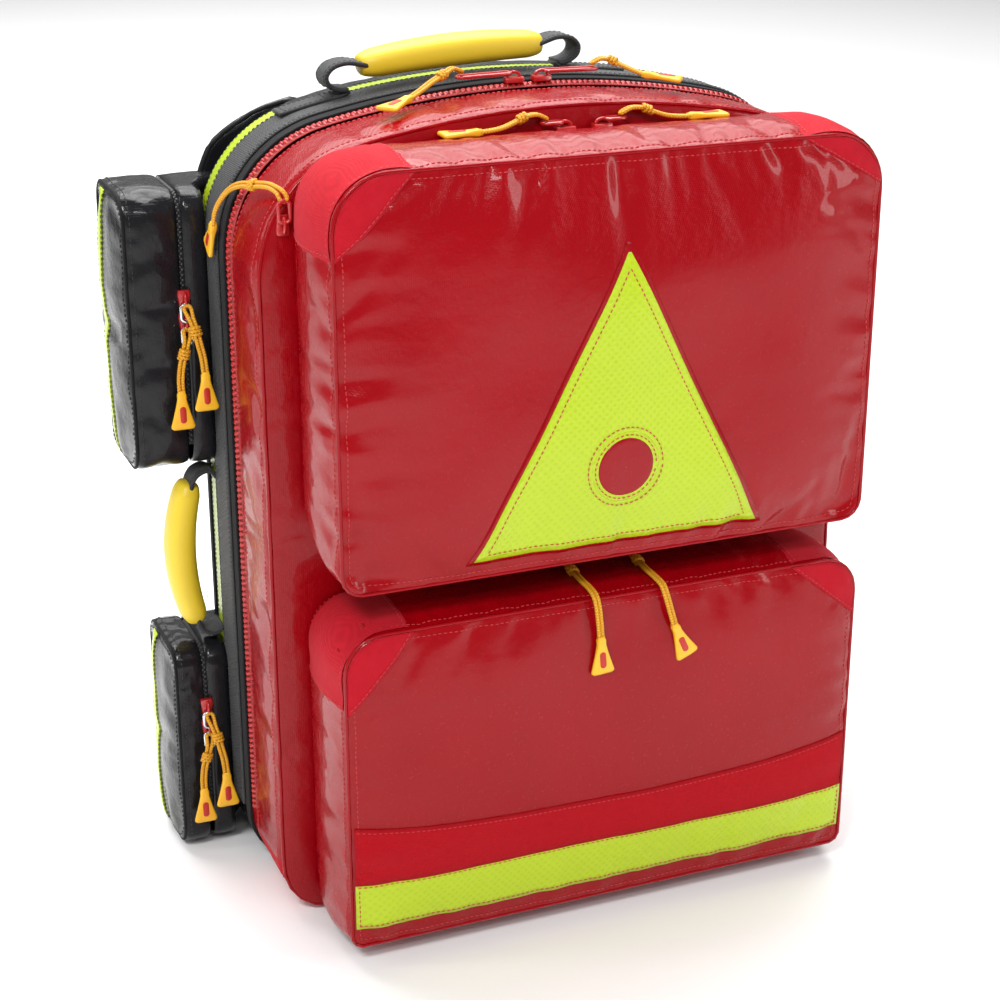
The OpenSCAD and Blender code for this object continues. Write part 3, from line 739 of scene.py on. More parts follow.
def ribbon(goods, path, outs, width, thick, finish=0, closed=False):
    """A flat woven strip along a path, its middle line given, rounded at both edges."""
    rows, run, n = [], lengths(path), len(path)
    for i, (p, out) in enumerate(zip(path, outs)):
        out = Vector(out).normalized()
        way = Vector(path[(i + 1) % n if closed else min(i + 1,
                n - 1)]) - Vector(path[i - 1 if closed else max(i - 1, 0)])
        side = way.normalized().cross(out).normalized()
        half, p = width / 2, Vector(p)
        rows.append([p + side * a * half + out * (b * thick / 2) for a, b in (
            (-1, 0), (-0.97, 0.8), (-0.9, 1), (-0.45, 1.04), (0, 1), (0.45,
                    1.04), (0.9, 1), (0.97, 0.8), (1, 0),
            (0.97, -0.8), (0.9, -1), (0, -1), (-0.9, -1), (-0.97, -0.8))])
    across = (0, 0.015, 0.05, 0.275, 0.5, 0.725, 0.95, 0.985, 1, 0.985, 0.95, 0.5, 0.05, 0.015)
    if closed:
        rows.append(rows[0])
        run.append(run[-1] + (Vector(path[0]) - Vector(path[-1])).length)
    goods.grid(rows, finish, True, not closed, [[(d / 1000, a) for a in across] for d in run])


def round_body(y, grow=0.0, low=None, half=210, base=0, high=550, step=6):
    """The pack's outline at a depth y as points and outward directions; from one foot over the top to the other."""
    arcs, crown = body_arcs(half, base, high, grow)
    ring = arcs[0] + arcs[1] + crown + arcs[2] + arcs[3]
    ring = flat_even(ring + [ring[0]], int(1650 / step))[:-1]
    outs = outward(ring)
    line = [(Vector((u, y, v)), Vector((a, 0, b))) for (u, v), (a, b) in zip(ring, outs)]
    if low is None:
        return line
    return [s for s in line if s[0].z >= low]


def ring_from_foot(line):
    """Starts an open run at the right foot: the ring's list may wrap in the middle of the bottom."""
    cut = max(range(len(line)), key=lambda i: (line[i][0] - line[i - 1][0]).length)
    return line[cut:] + line[:cut]


def lean_body(u, v, w):
    t = max(0.0, (w - 60) / 38)
    return u * (1 - 0.14 * t), v - (5 * t * t if v > 275 else -4 * t * t * (v < 60))


arcs, crown = body_arcs(210, 0, 550)
body_rows = [0, 5, 10, 18, 27, 36, 44, 52, 60, 66, 72, 78, 84, 90, 95, 98]
body = Pouch(arcs, crown, 66, 84, body_rows, lambda u, v, w: (u, w, v), puff=0, dome=-1.5, lean=lean_body)
n = len(body.ring)
firm = [i for i in range(9 * n)] + [i for i in range(16 * n, len(body.goods.points))]
body.sew("body_shell", [black_tarpaulin], "pack", pressure=5, cap=3.5, held=firm, slack=0.03, thick=2.6)
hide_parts("back_shell")

trim = Goods()
for w, lift in ((64, 0.1), (93, 0.1)):
    spots = [body.beside(i, w, lift) for i in range(0, n)]
    stitch(trim, spots + spots[:1], 0)
welt = [body.beside(i, 96.5, 0.2)[0] for i in range(0, n, 2)]
tube(trim, welt, 1.5, 1, 6, True)
edge = round_body(5, -0.4)
ribbon(trim, *zip(*edge), 10.4, 1.6, 1, True)
trim.make("body_seams", [thread, black_cordura], "pack")

# ---- webbing round the body, and the lime line behind it ----
# 34 mm black polyamide webbing is sewn round the body over the zipper's tape; the handles are sewn to it.
# Behind it runs a 14 mm line of lime reflective film.


def webbing(name, colour, deep, pitch=0.0021):
    """Ribs across a strip, from the run of the strip itself, with a selvedge at both edges."""
    finish = Finish(name, colour, 0.62, Sheen_Weight=0.1)
    run, across = [finish.node("SeparateXYZ", None, {0: finish.node("UVMap", {"uv_map": "run"})}, i)
                   for i in (0, 1)]
    rib = finish.sine(run, pitch) * finish.sine(across * 9,
            1) + finish.sine(run, pitch, pi) * (1 - finish.sine(across * 9, 1))
    wear = finish.noise(240, 3)
    finish.tint(deep, 0.6 * (1 - rib) + 0.4 * wear)
    finish.relief(rib, 0.0005)
    finish.feed("Roughness", 0.5 + 0.25 * wear)
    return finish


black_webbing = webbing("black_webbing", (0.020, 0.020, 0.022), (0.005, 0.005, 0.006))
band, spots = Goods(), ring_from_foot(round_body(27, 1.1, 41))
ribbon(band, *zip(*spots), 34, 2.0)
for w in (12.5, 41.5):
    stitch(band, shifted(*zip(*spots), 1.0, y=w - 27), 1)
band_piece = band.make("body_webbing", [black_webbing, thread], "pack")
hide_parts("webbing_band")

lime_film = Finish("lime_film", (0.46, 0.60, 0.015), 0.3, Specular_IOR_Level=0.3, Coat_Weight=0.15,
                   Coat_Roughness=0.06)
_, (x, y, z) = lime_film.place()
cells = lime_film.sine(x + z + y, 0.0056) * lime_film.sine(x - z + y, 0.0056)
cloud = lime_film.noise(14, 3)
lime_film.tint((0.36, 0.48, 0.008), 0.3 * (cells > 0.5) + 0.5 * cloud)
lime_film.relief(0.25 * cells + lime_film.noise(45, 3), 0.0009)
lime_film.feed("Roughness", 0.2 + 0.14 * cloud)
line, spots = Goods(), ring_from_foot(round_body(52, 0.6, 41))
ribbon(line, *zip(*spots), 14, 1.0)
for w in (46.5, 57.5):
    stitch(line, shifted(*zip(*spots), 0.5, y=w - 52), 1)
line_piece = line.make("body_lime_line", [lime_film, thread], "pack")
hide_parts("reflective_band")

# ---- main zipper and the hinge of the lid ----
# A 10 mm coil zipper on red woven tape runs up one side, over the top and down the other; below, a doubled
# strip of red tarpaulin is the hinge on which the lid folds down.


def coil(name, colour, deep):
    finish = Finish(name, colour, 0.4)
    shade = finish.noise(900, 2)
    finish.tint(deep, shade)
    finish.feed("Roughness", 0.32 + 0.2 * shade)
    return finish


red_tape = webbing("red_zip_tape", (0.50, 0.010, 0.012), (0.28, 0.003, 0.005), 0.0012)
red_coil = coil("red_coil", (0.58, 0.02, 0.02), (0.34, 0.006, 0.008))
black_tape = webbing("black_zip_tape", (0.02, 0.02, 0.022), (0.007, 0.007, 0.008), 0.0012)
black_coil = coil("black_coil", (0.045, 0.045, 0.048), (0.015, 0.015, 0.016))


def zipper(goods, spots, tape, chain, pitch=1.9, closed=False, high=1.1):
    """Tape along (point, outward) spots, and over it the coil's loops, those of each side in turn."""
    path = [p for p, _ in spots]
    ribbon(goods, [p - o * 0.5 for p, o in spots], [o for _, o in spots], tape, 0.8, 0, closed)
    run, k = lengths(path), 0
    for i in range(int(run[-1] / pitch)):
        d = (i + 0.5) * pitch
        while run[k + 1] < d:
            k += 1
        t = (d - run[k]) / (run[k + 1] - run[k])
        at, out = path[k].lerp(path[k + 1], t), spots[k][1].lerp(spots[k + 1][1], t).normalized()
        way = (path[k + 1] - path[k]).normalized()
        side = way.cross(out) * (1 if i % 2 else -1)
        rows = []
        for a, b in ((-0.12, 0.1), (0.02, high), (0.3, high * 0.85), (0.5, 0.05)):
            rows.append([at + side * (a * chain) + way * (s * pitch * 0.46) + out * (b + c) for s, c in (
                (-1, -0.25), (-0.6, 0.1), (0.6, 0.1), (1, -0.25))])
        goods.grid(rows, 1)


zip_goods = Goods()
spots = ring_from_foot(round_body(-6, -1.9, 45, step=5))
zipper(zip_goods, spots, 12.6, 8.6, 2.0, high=1.5)
main_zip = zip_goods.make("main_zipper_coil", [red_tape, red_coil], "pack")
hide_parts("main_zipper")
hinge = Goods()
hinge.grid([[Vector((x, y, z + 0.12 * sin(x / 9))) for x in range(-168, 169, 6)] for y, z in (
    (-0.3, 0.5), (-0.3, 2.2), (-3, 2.8), (-6, 1.3), (-9, 2.8), (-11.8, 2.2), (-11.8, 0.5), (-6, 0.2))], 0)
for s in (-1, 1):
    corner = sorted([q for q in round_body(-6, -2.2, 0, step=4) if q[0].z < 50 and q[0].x * s > 164],
                    key=lambda q: abs(q[0].x) + q[0].z)
    ribbon(hinge, *zip(*corner), 12, 0.8)
hinge_piece = hinge.make("lid_hinge_strip", [red_tarpaulin], "pack")
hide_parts("lid_hinge")

# ---- the lid ----
# A deep red lid of the same tarpaulin, stiffened with foam; a bound seam runs round it just behind its front
# panel, and its lower corners are faced with woven fabric against wear.


def lid_finish(part, i, pouch):
    """Woven facing on the gusset's lower corners, tarpaulin elsewhere."""
    return 1 if part == "gusset" and pouch.ring[i][1] < 44 else 0


arcs, crown = body_arcs(208, 0, 546)
lid_rows = [0, 6, 12, 19, 26, 33, 40, 46, 51, 54, 57, 60, 63]
lid = Pouch(arcs, crown, 66, 84, lid_rows, lambda u, v, w: (u, -12 - w, v), puff=0, dome=1.5,
            finish_at=lid_finish)
n = len(lid.ring)
groove = 9
for i in range(n):
    for row, depth in ((groove, 2.0), (groove - 1, 0.2), (groove + 1, 0.2)):
        a, b = lid.outs[i]
        lid.goods.points[row * n + i] -= Vector((a * depth, 0, b * depth))
firm = [groove * n + i for i in range(n)]
lid.sew("lid_shell_skin", [red_tarpaulin, red_cordura], "main_lid", pressure=7, cap=2.4, held=firm,
        slack=0.03, thick=2.6, folds=(0.9, 16, 3))
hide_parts("lid_shell")
trim = Goods()
for w in (4, 49.5, 58.5):
    spots = [lid.beside(i, w, 0.1) for i in range(n)]
    stitch(trim, spots + spots[:1], 0)
welt = [lid.beside(i, 62.2, 0.3)[0] for i in range(0, n, 2)]
tube(trim, welt, 1.4, 1, 6, True)
trim.make("lid_seams", [red_thread, red_tarpaulin], "main_lid")

# ---- floors and zippers of the front pockets ----
# Each front pocket has a floor of red tarpaulin fixed to the lid, and a 5 mm red coil zipper that runs up
# both sides and over its top, between the lid and the pocket.
floors = Goods()
for front_z, back_z in ((264.5, 294), (12.5, 13.5)):
    rows = [[Vector((x, -147 + 72 * t, front_z + (back_z - front_z) * t - 1.2 * sin(pi * t) * cos(x / 62)))
             for x in range(-172, 173, 8)] for t in (0, 0.15, 0.3, 0.45, 0.6, 0.75, 0.9, 1)]
    floors.grid(rows)
floor_piece = floors.make("pocket_floor_sheets", [red_tarpaulin], "main_lid")
floor_piece.modifiers.new("thickness", "SOLIDIFY").thickness = 0.0014
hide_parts("pocket_floors")

pocket_chain = Goods()
for z0, z1, rl, rh, low in ((266, 530, 14, 36, 298), (14, 238, 8, 26, 42)):
    arcs, crown = box_arcs(-185, 185, z0, z1, rl, rh, -1.6)
    ring = [s for side in four_sides(arcs, crown, 62, 44) for s in side[:-1]]
    spots = [(Vector((u, -77.5, v)), Vector((a, 0, b))) for (u, v),
             (a, b) in zip(ring, outward(ring)) if v >= low]
    zipper(pocket_chain, ring_from_foot(spots), 5.6, 4.6, 1.8, high=1.2)
chain_piece = pocket_chain.make("pocket_zipper_coils", [red_tape, red_coil], "main_lid")
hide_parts("pocket_zippers")

# ---- upper front pocket ----
# A deep pocket of red tarpaulin: a front panel joined to its gusset by a welted, topstitched seam, with woven
# facings over the top corners. Its floor slopes up towards the lid.


def lay(goods, rows, pouch, lift=0.9, finish=0):
    """A panel laid on a pouch's face: its edges are turned down into the skin."""
    rows = [rows[0]] + rows + [rows[-1]]
    grid = []
    for j, row in enumerate(rows):
        row = [row[0]] + list(row) + [row[-1]]
        grid.append([pouch.onto(u, v, -0.5 if j in (0, len(rows) - 1) or i in (0, len(row) - 1) else lift)[0]
                     for i, (u, v) in enumerate(row)])
    goods.grid(grid, finish)


def over(pouch, line, lift=1.0, step=4):
    """Spots on a pouch's face along a line of (u, v)."""
    return [pouch.onto(p.x, p.y, lift) for p in even([(u, v, 0) for u, v in line],
            max(2, int(lengths([(u, v, 0) for u, v in line])[-1] / step)))]


def corner_facing(goods, pouch, a, b, finish=0, thread_at=1):
    """A woven facing from a straight cut a-b out to the corner, and on over the gusset."""
    near = [min(range(len(pouch.ring)), key=lambda i: hypot(pouch.ring[i][0] - p[0],
            pouch.ring[i][1] - p[1])) for p in (a, b)]
    i0, i1 = near
    step = 1 if (i1 - i0) % len(pouch.ring) < len(pouch.ring) / 2 else -1
    span = (i1 - i0) * step % len(pouch.ring)
    idx = [(i0 + step * k) % len(pouch.ring) for k in range(span + 1)]
    rows = []
    for q in range(9):
        row = []
        for k, i in enumerate(idx):
            (u, v), (ou, ov), s = pouch.ring[i], pouch.outs[i], k / span
            row.append(((a[0] + (b[0] - a[0]) * s) * (1 - q / 8) + (u - ou * 1.6) * q / 8,
                        (a[1] + (b[1] - a[1]) * s) * (1 - q / 8) + (v - ov * 1.6) * q / 8))
        rows.append(row)
    lay(goods, rows, pouch, 0.7, finish)
    levels = [pouch.depth * t for t in (0.02, 0.12, 0.3, 0.5, 0.7, 0.88, 0.97)]
    goods.grid([[pouch.beside(i, w, -0.4 if k in (0, span) else 0.7)[0] for k, i in enumerate(idx)]
                for w in levels], finish)
    inset = [(p[0] + (c[0] - p[0]) * 0.07, p[1] + (c[1] - p[1]) * 0.07) for p,
             c in ((a, pouch.ring[idx[span // 2]]), (b, pouch.ring[idx[span // 2]]))]
    stitch(goods, over(pouch, inset), thread_at)
    for i in (idx[1], idx[-2]):
        stitch(goods, [pouch.beside(i, w, 0.8) for w in levels], thread_at)


def front_seam(goods, pouch, arcs, welt_at=0, thread_at=1, radius=1.3):
    """The welt where face and gusset meet, topstitched on both sides."""
    tube(goods, [Vector(pouch.place(u - a * 0.5, v - b * 0.5, pouch.depth - 0.3)) for (u, v),
                 (a, b) in zip(pouch.ring, pouch.outs)],
         radius, welt_at, 6, True)
    ring = arcs[0] + arcs[1] + arcs[2] + arcs[3]
    stitch(goods, over(pouch, ring + ring[:1], 0.15), thread_at)
    stitch(goods, [pouch.beside(i, pouch.depth - 4.5, 0.15) for i in range(len(pouch.ring))
                   if pouch.ring[i][1] > pouch.low + 3], thread_at)


def lean_upper(u, v, w):
    return u, v + 30 * (1 - w / 72) * max(0.0, 1 - (v - 266) / 120) ** 1.5


def cap_upper(at):
    """Less room to move near the seams and the pulls' places."""
    return 9 if at.y < -150 else 5


def front_pocket(tier, outline, up, puff, dome, lean, pressure, cap, folds, cuts):
    """Skin, seams and corner facings of one front pocket; a cut is the straight edge of a facing."""
    rows = [0, 5, 10, 16, 22, 28, 34, 40, 46, 52, 58, 63, 68, 72]
    pocket = Pouch(*box_arcs(*outline), 70, up, rows, lambda u, v, w: (u, -80 - w, v), puff=puff, dome=dome,
                   open_low=True, lean=lean)
    pocket.sew(f"{tier}_pocket_skin", [red_tarpaulin], f"{tier}_pocket", pressure=pressure, cap=cap,
               slack=0.035,
               folds=folds)
    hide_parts(f"{tier}_pocket_cover")
    trim, facing = Goods(), Goods()
    front_seam(trim, pocket, box_arcs(*outline, -5.5)[0])
    trim.make(f"{tier}_pocket_seams", [red_tarpaulin, red_thread], f"{tier}_pocket")
    for a, b in cuts:
        corner_facing(facing, pocket, a, b)
    facing.make(f"{tier}_pocket_facings", [red_cordura, red_thread], f"{tier}_pocket")
    return pocket


upper = front_pocket("upper", (-185, 185, 266, 530, 14, 36), 50, 3.5, 7, lean_upper, 9, cap_upper,
                     (3.4, 15, 5, 5.0),
                     (((-132, 529), (-184, 478)), ((184, 496), (126, 529))))

# ---- lime panel on the upper pocket ----
# A triangle of lime reflective film with a narrow red binding, sewn on round its edge; a plain round window
# of red tarpaulin is let into its lower half and stitched round.
panel = Goods()


def triangle(grow, rows, columns):
    out = []
    for k in range(rows + 1):
        t = k / rows
        half = (101 + grow * 1.7) * (1 - t) + 1.0
        out.append([(half * (2 * i / columns - 1), 279 - grow + (195 + grow * 3.2) * t)
                    for i in range(columns + 1)])
    return out


lay(panel, triangle(1.6, 40, 44), upper, 0.55, 1)
lay(panel, triangle(-1.2, 44, 48), upper, 1.0, 0)
for ring_r, lift, finish in ((24, 1.25, 0), (19.5, 1.6, 1)):
    panel.grid([[upper.onto(r * cos(2 * pi * k / 40), 333 + r * sin(2 * pi * k / 40), h)[0]
                 for k in range(40)]
                for r, h in ((0.3, lift), (5, lift), (10, lift), (15, lift), (ring_r - 1, lift),
                             (ring_r, lift - 0.3), (ring_r, -0.3))],
               finish, True)
corners = [(-92, 284.5), (92, 284.5), (0, 462), (-92, 284.5)]
stitch(panel, over(upper, corners, 1.1), 2)
for r in (26.5, 21.7):
    stitch(panel, over(upper, [(r * cos(2 * pi * k / 40), 333 + r * sin(2 * pi * k / 40)) for k in range(41)],
                       1.35), 2)
panel_piece = panel.make("lime_triangle_panel", [lime_film, red_tarpaulin, red_thread], "upper_pocket")
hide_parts("warning_triangle")

# ---- lower front pocket ----
# The same make as the upper pocket but shallower and squarer; it turns out on its lower front edge.


def cap_lower(at):
    """The face stays flatter under the two hanging pulls."""
    if at.y > -150:
        return 4.5
    return 7.5 - 6 * exp(-((at.x - 14) / 75) ** 2) * exp(-((at.z - 222) / 45) ** 2)


lower = front_pocket("lower", (-185, 185, 14, 238, 8, 26), 42, 2.2, 1.5, None, 8, cap_lower,
                     (2.6, 15, 17, 3.0),
                     (((-138, 237), (-184, 184)), ((184, 195), (133, 237))))

# ---- loop panel and lime strip on the lower pocket ----
# A band of brushed loop for badges, whose upper edge sags a little between the seams, and below it a strip of
# lime reflective film; both are sewn along their long edges.
loop_finish = Finish("brushed_loop", (0.62, 0.006, 0.016), 0.95, Specular_IOR_Level=0.1, Sheen_Weight=0.04)
nap, tufts = loop_finish.noise(1100, 3, 0.7), loop_finish.noise(260, 4, 0.7)
loop_finish.tint((0.30, 0.002, 0.006), nap * 0.6 + tufts * 0.3)
loop_finish.relief(nap + 0.8 * tufts, 0.0014)
strips = Goods()


def loop_top(u):
    return 94 + 10 * (u / 182) ** 2


lay(strips, [[(u, 62 + (loop_top(u) - 62) * q / 8) for u in range(-182, 183, 4)] for q in range(9)], lower,
    1.3, 0)
lay(strips, [[(u, 29 + 34 * q / 8) for u in range(-182, 183, 4)] for q in range(9)], lower, 1.1, 1)
for height in (31.2, 60.8):
    stitch(strips, over(lower, [(-181, height), (181, height)], 1.2), 2)
stitch(strips, over(lower, [(u, loop_top(u) - 2.2) for u in range(-181, 182, 6)], 1.45), 2)
for u in (-179.5, 179.5):
    stitch(strips, over(lower, [(u, 30), (u, 62)], 1.2), 2)
strips_piece = strips.make("loop_and_lime_strips", [loop_finish, lime_film, red_thread], "lower_pocket")
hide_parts("loop_panel", "reflective_strip")

# ---- side pockets ----
# Four pockets of black tarpaulin. Each has a base sewn round the slanted rear of the body, a black coil
# zipper up its front and over its top, and a cover that turns back on its rear edge.


def against_body(y):
    """How far out the body's side stands at a depth y."""
    return 212.3 - 30 * min(1, max(0, y - 60) / 38)


for side, s in (("left", -1), ("right", 1)):
    for tier, z0, z1, out in (("upper", 296, 486, 36), ("lower", 4, 160, 19)):
        tall = int((z1 - z0) / 6)
        arcs, crown = box_arcs(35, 110, z0, z1, 16, 16)
        rim, deep = 228, 16
        base = Pouch(arcs, crown, 14, tall, [0, 4, 8, 12, deep],
                     lambda u, v, w: (s * (rim + (against_body(u) - rim) * w / deep), u, v), puff=0.8, dome=0)
        base.sew(f"side_pocket_{side}_{tier}_base", [black_tarpaulin], "pack", thick=1.4, detail=0)
        cover = Pouch(arcs, crown, 16, tall, [out * k / 8 for k in range(9)], lambda u, v,
                      w: (s * (231 + w), u, v),
                      puff=1.2, dome=2.5)
        cover.sew(f"side_pocket_{side}_{tier}_cover", [black_tarpaulin], f"side_cover_{side}_{tier}",
                  pressure=16,
                  cap=lambda at: 6 if abs(at.x) > 226 + out else 2.2, slack=0.045,
                  folds=(1.6, 12, s * 7 + z0 / 40, 1.5))
        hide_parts(f"side_cover_{side}_{tier}")
        trim = Goods()
        front_seam(trim, cover, box_arcs(35, 110, z0, z1, 16, 16, -4)[0], 0, 1, 1.2)
        lay(trim, [[(77 + 12 * k / 3, z0 + 3 + (z1 - z0 - 6) * j / 30) for k in range(4)] for j in range(31)],
            cover, 0.8, 2)
        for u in (76.6, 89.4):
            stitch(trim, over(cover, [(u, z0 + 3), (u, z1 - 3)], 0.5), 1)
        trim.make(f"side_pocket_{side}_{tier}_trim", [black_cordura, thread, lime_film],
                          f"side_cover_{side}_{tier}")
        ring = [q for part in four_sides(*box_arcs(35, 110, z0, z1, 16, 16, -1.6), 14, tall)
                for q in part[:-1]]
        spots = [(Vector((s * 229.6, u, v)), Vector((0, a, b))) for (u, v), (a, b) in zip(ring, outward(ring))
                 if (u < 55 and v > z0 + 16) or (v > z1 - 14 and u < 94)]
        chain = Goods()
        zipper(chain, ring_from_foot(spots), 5.4, 4.2, 1.8, high=1.1)
        rear = [Vector((s * side_zip_x, 110.6, z0 + 14 + (z1 - z0 - 28) * j / 20)) for j in range(21)]
        ribbon(chain, rear, [Vector((0, 1, 0))] * 21, 8, 1.0, 0)
        chain_piece = chain.make(f"side_pocket_{side}_{tier}_zipper", [black_tape, black_coil], "pack")
        if (side, tier) == ("left", "upper"):
            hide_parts("side_pocket_bases")
            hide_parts("side_zippers")

# ---- carrying handles ----
# Moulded yellow grips, fat in the middle, over a doubled band of black webbing that curls down at each end to
# where it is sewn on the body. The top handle's ends run on along the webbing as tails.
grip_finish = Finish("grip_yellow", (0.80, 0.60, 0.03), 0.42)
fine, cloud = grip_finish.noise(1300, 2), grip_finish.noise(25, 3)
grip_finish.tint((0.66, 0.46, 0.016), 0.3 * fine + 0.5 * cloud)
grip_finish.feed("Roughness", 0.36 + 0.16 * cloud)
grip_finish.relief(fine, 0.00012)


def handle(name, node_grip, node_strap, body, spot, half_turn, curl):
    """spot(r, a) is a point at radius r and angle a; the grip spans half_turn either side of 0."""
    goods, rows = Goods(), []
    for k in range(41):
        t = k / 40
        a = half_turn * (2 * t - 1)
        size = 0.80 + 0.22 * sin(pi * t) ** 0.7
        size = {0: 0.55, 1: 0.72, 2: 0.80, 38: 0.80, 39: 0.72, 40: 0.55}.get(k, size)
        centre, outer = Vector(spot(0, a)), Vector(spot(1, a))
        out, wide = (outer - centre).normalized(), Vector((0, 1, 0))
        ring = []
        for j in range(28):
            b = 2 * pi * j / 28
            ring.append(centre + wide * (14 * size * squarish(cos(b), 0.8))
                        + out * (10.5 * size * squarish(sin(b), 0.85)))
        rows.append(ring)
    goods.grid(rows, 0, True, True)
    grip = goods.make(name + "_grip", [grip_finish], body)
    grip.modifiers.new("rounder", "SUBSURF").render_levels = 1
    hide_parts(node_grip)
    strap = Goods()
    for end in (-1, 1):
        path = eased([spot(r, end * a) for r, a in curl], 5)
        outs = [f[2] for f in carried(path, Vector(spot(5, end * curl[0][1]))
                                      - Vector(spot(0, end * curl[0][1])))]
        ribbon(strap, path, outs, 21, 3.0)
        for dy in (7.5, -7.5):
            stitch(strap, shifted(path, outs, 1.5, y=dy), 1)
    strap_piece = strap.make(name + "_webbing", [black_webbing, thread], body)
    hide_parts(node_strap)


def top_spot(r, a):
    b = radians(93.274 + a)
    return (665 + r) * cos(b), 38, -97 + (665 + r) * sin(b)


handle("top_handle", "top_handle_grip", "top_handle_strap", "top_handle", top_spot, 5.69,
       [(-1, 5.0), (2.5, 5.75), (5.2, 6.5), (4.6, 7.3), (0, 7.8), (-6, 7.75), (-10.3, 7.3), (-12.2, 6.7)])
tails = Goods()
for end in (-1, 1):
    path = [Vector(top_spot(-15.2 + 1.6 * max(0, 1 - k / 3), end * (6.6 + 4.4 * k / 24))) for k in range(25)]
    outs = [(Vector(top_spot(10, end * (6.6 + 4.4 * k / 24))) - path[k]).normalized() for k in range(25)]
    ribbon(tails, path, outs, 18.6, 2.4)
    for dy in (-7, 7):
        stitch(tails, shifted(path[2:], outs[2:], 1.3, y=dy), 1)
    for k in (8, 22):
        stitch(tails, [(path[k] + outs[k] * 1.3 + Vector((0, y, 0)), outs[k]) for y in (-8, 0, 8)], 1)
tails_piece = tails.make("top_handle_tails", [black_webbing, thread], "pack")
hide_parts("handle_tails")
for side, s in (("left", -1), ("right", 1)):
    def side_spot(r, a):
        return s * (88 + (150 + r) * cos(radians(a))), 52, 228 + (150 + r) * sin(radians(a))
    handle(f"side_handle_{side}", f"side_handle_grip_{side}", f"side_handle_strap_{side}",
           f"side_handle_{side}", side_spot,
           20.5, [(0, 19), (0.3, 21), (-1.2, 23.2), (-5.5, 25), (-10, 25.3), (-14, 24.4)])

# ---- back pads ----
# Two foam pads under black spacer mesh on the wearer's side, quilted into channels by lines of stitching and
# bound round their edges; the lower one rests on the hips.
mesh_finish = Finish("spacer_mesh", (0.030, 0.030, 0.033), 0.85, Sheen_Weight=0.25, Sheen_Roughness=0.5)
_, (x, y, z) = mesh_finish.place()
holes = (mesh_finish.sine(x + 0.5 * z, 0.0036) * mesh_finish.sine(x - 0.5 * z, 0.0036)) > 0.42
dye = mesh_finish.noise(90, 3)
mesh_finish.tint((0.004, 0.004, 0.005), 0.8 * holes + 0.15 * dye)
mesh_finish.relief(1 - holes + 0.2 * dye, 0.0007)


def quilted(name, node, x1, z0, z1, rl, rh, columns, rows_at):
    arcs, crown = box_arcs(-x1, x1, z0, z1, rl, rh)
    across, up = int(2 * x1 / 6.5), int((z1 - z0) / 6.5)
    pad = Pouch(arcs, crown, across, up, [0, 4, 8, 11, 13.5], lambda u, v, w: (u, 98.7 + w, v), puff=1.0,
                dome=3.5)
    sunk = []
    for k in range(len(pad.rows) * len(pad.ring), len(pad.goods.points)):
        p = pad.goods.points[k]
        if min([abs(p.x - c) for c in columns] + [abs(p.z - r) for r in rows_at]) < 3.4:
            pad.goods.points[k] = Vector((p.x, 107.5, p.z))
            sunk.append(k)
    pad.sew(name, [mesh_finish], "pack", pressure=14, cap=4.0, held=sunk, slack=0.05, thick=0)
    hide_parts(node)
    trim = Goods()
    tube(trim, [Vector(pad.place(u - a * 0.5, v - b * 0.5, 13)) for (u, v),
                (a, b) in zip(pad.ring, pad.outs)], 2.1, 0, 8, True)
    for c in columns:
        stitch(trim, over(pad, [(c, z0 + 8), (c, z1 - 8)], 0.2), 1)
    for r in rows_at:
        stitch(trim, over(pad, [(-x1 + 8, r), (x1 - 8, r)], 0.2), 1)
    trim.make(name + "_binding", [black_webbing, thread], "pack")


quilted("back_pad_cushion", "back_pad", 135, 146, 490, 25, 50, (-45, 45), (232, 318, 404))
quilted("lumbar_cushion", "lumbar_pad", 150, 36, 134, 25, 25, (-75, 0, 75), ())

# ---- shoulder straps ----
# Curved foam straps under black woven nylon, bound along both edges, with a load webbing sewn down the middle.
# Each is sewn in above the back pad and ends in a ladder buckle, from which webbing runs to the pack's foot.
nylon = woven("strap_nylon", (0.022, 0.022, 0.025), (0.006, 0.006, 0.007), 0.0011, 0.6)


def strap_path(out):
    return [Vector((0, y, z)) for y, z in ((98.8, 506 + out), (107, 506 + out), (115, 503.5 + out),
            (124, 494 + out), (133, 482 + out),
                                           (139.5 + 0.6 * out, 470 + 0.7 * out), (140.5 + out, 452),
                                           (140.5 + out, 420),
                                           (140.5 + out, 380), (140.5 + out, 340), (140.5 + out, 300),
                                           (140 + out, 255),
                                           (137.5 + out, 232), (133.5 + out, 210), (129.5 + out, 190),
                                           (125.7 + out, 171))]


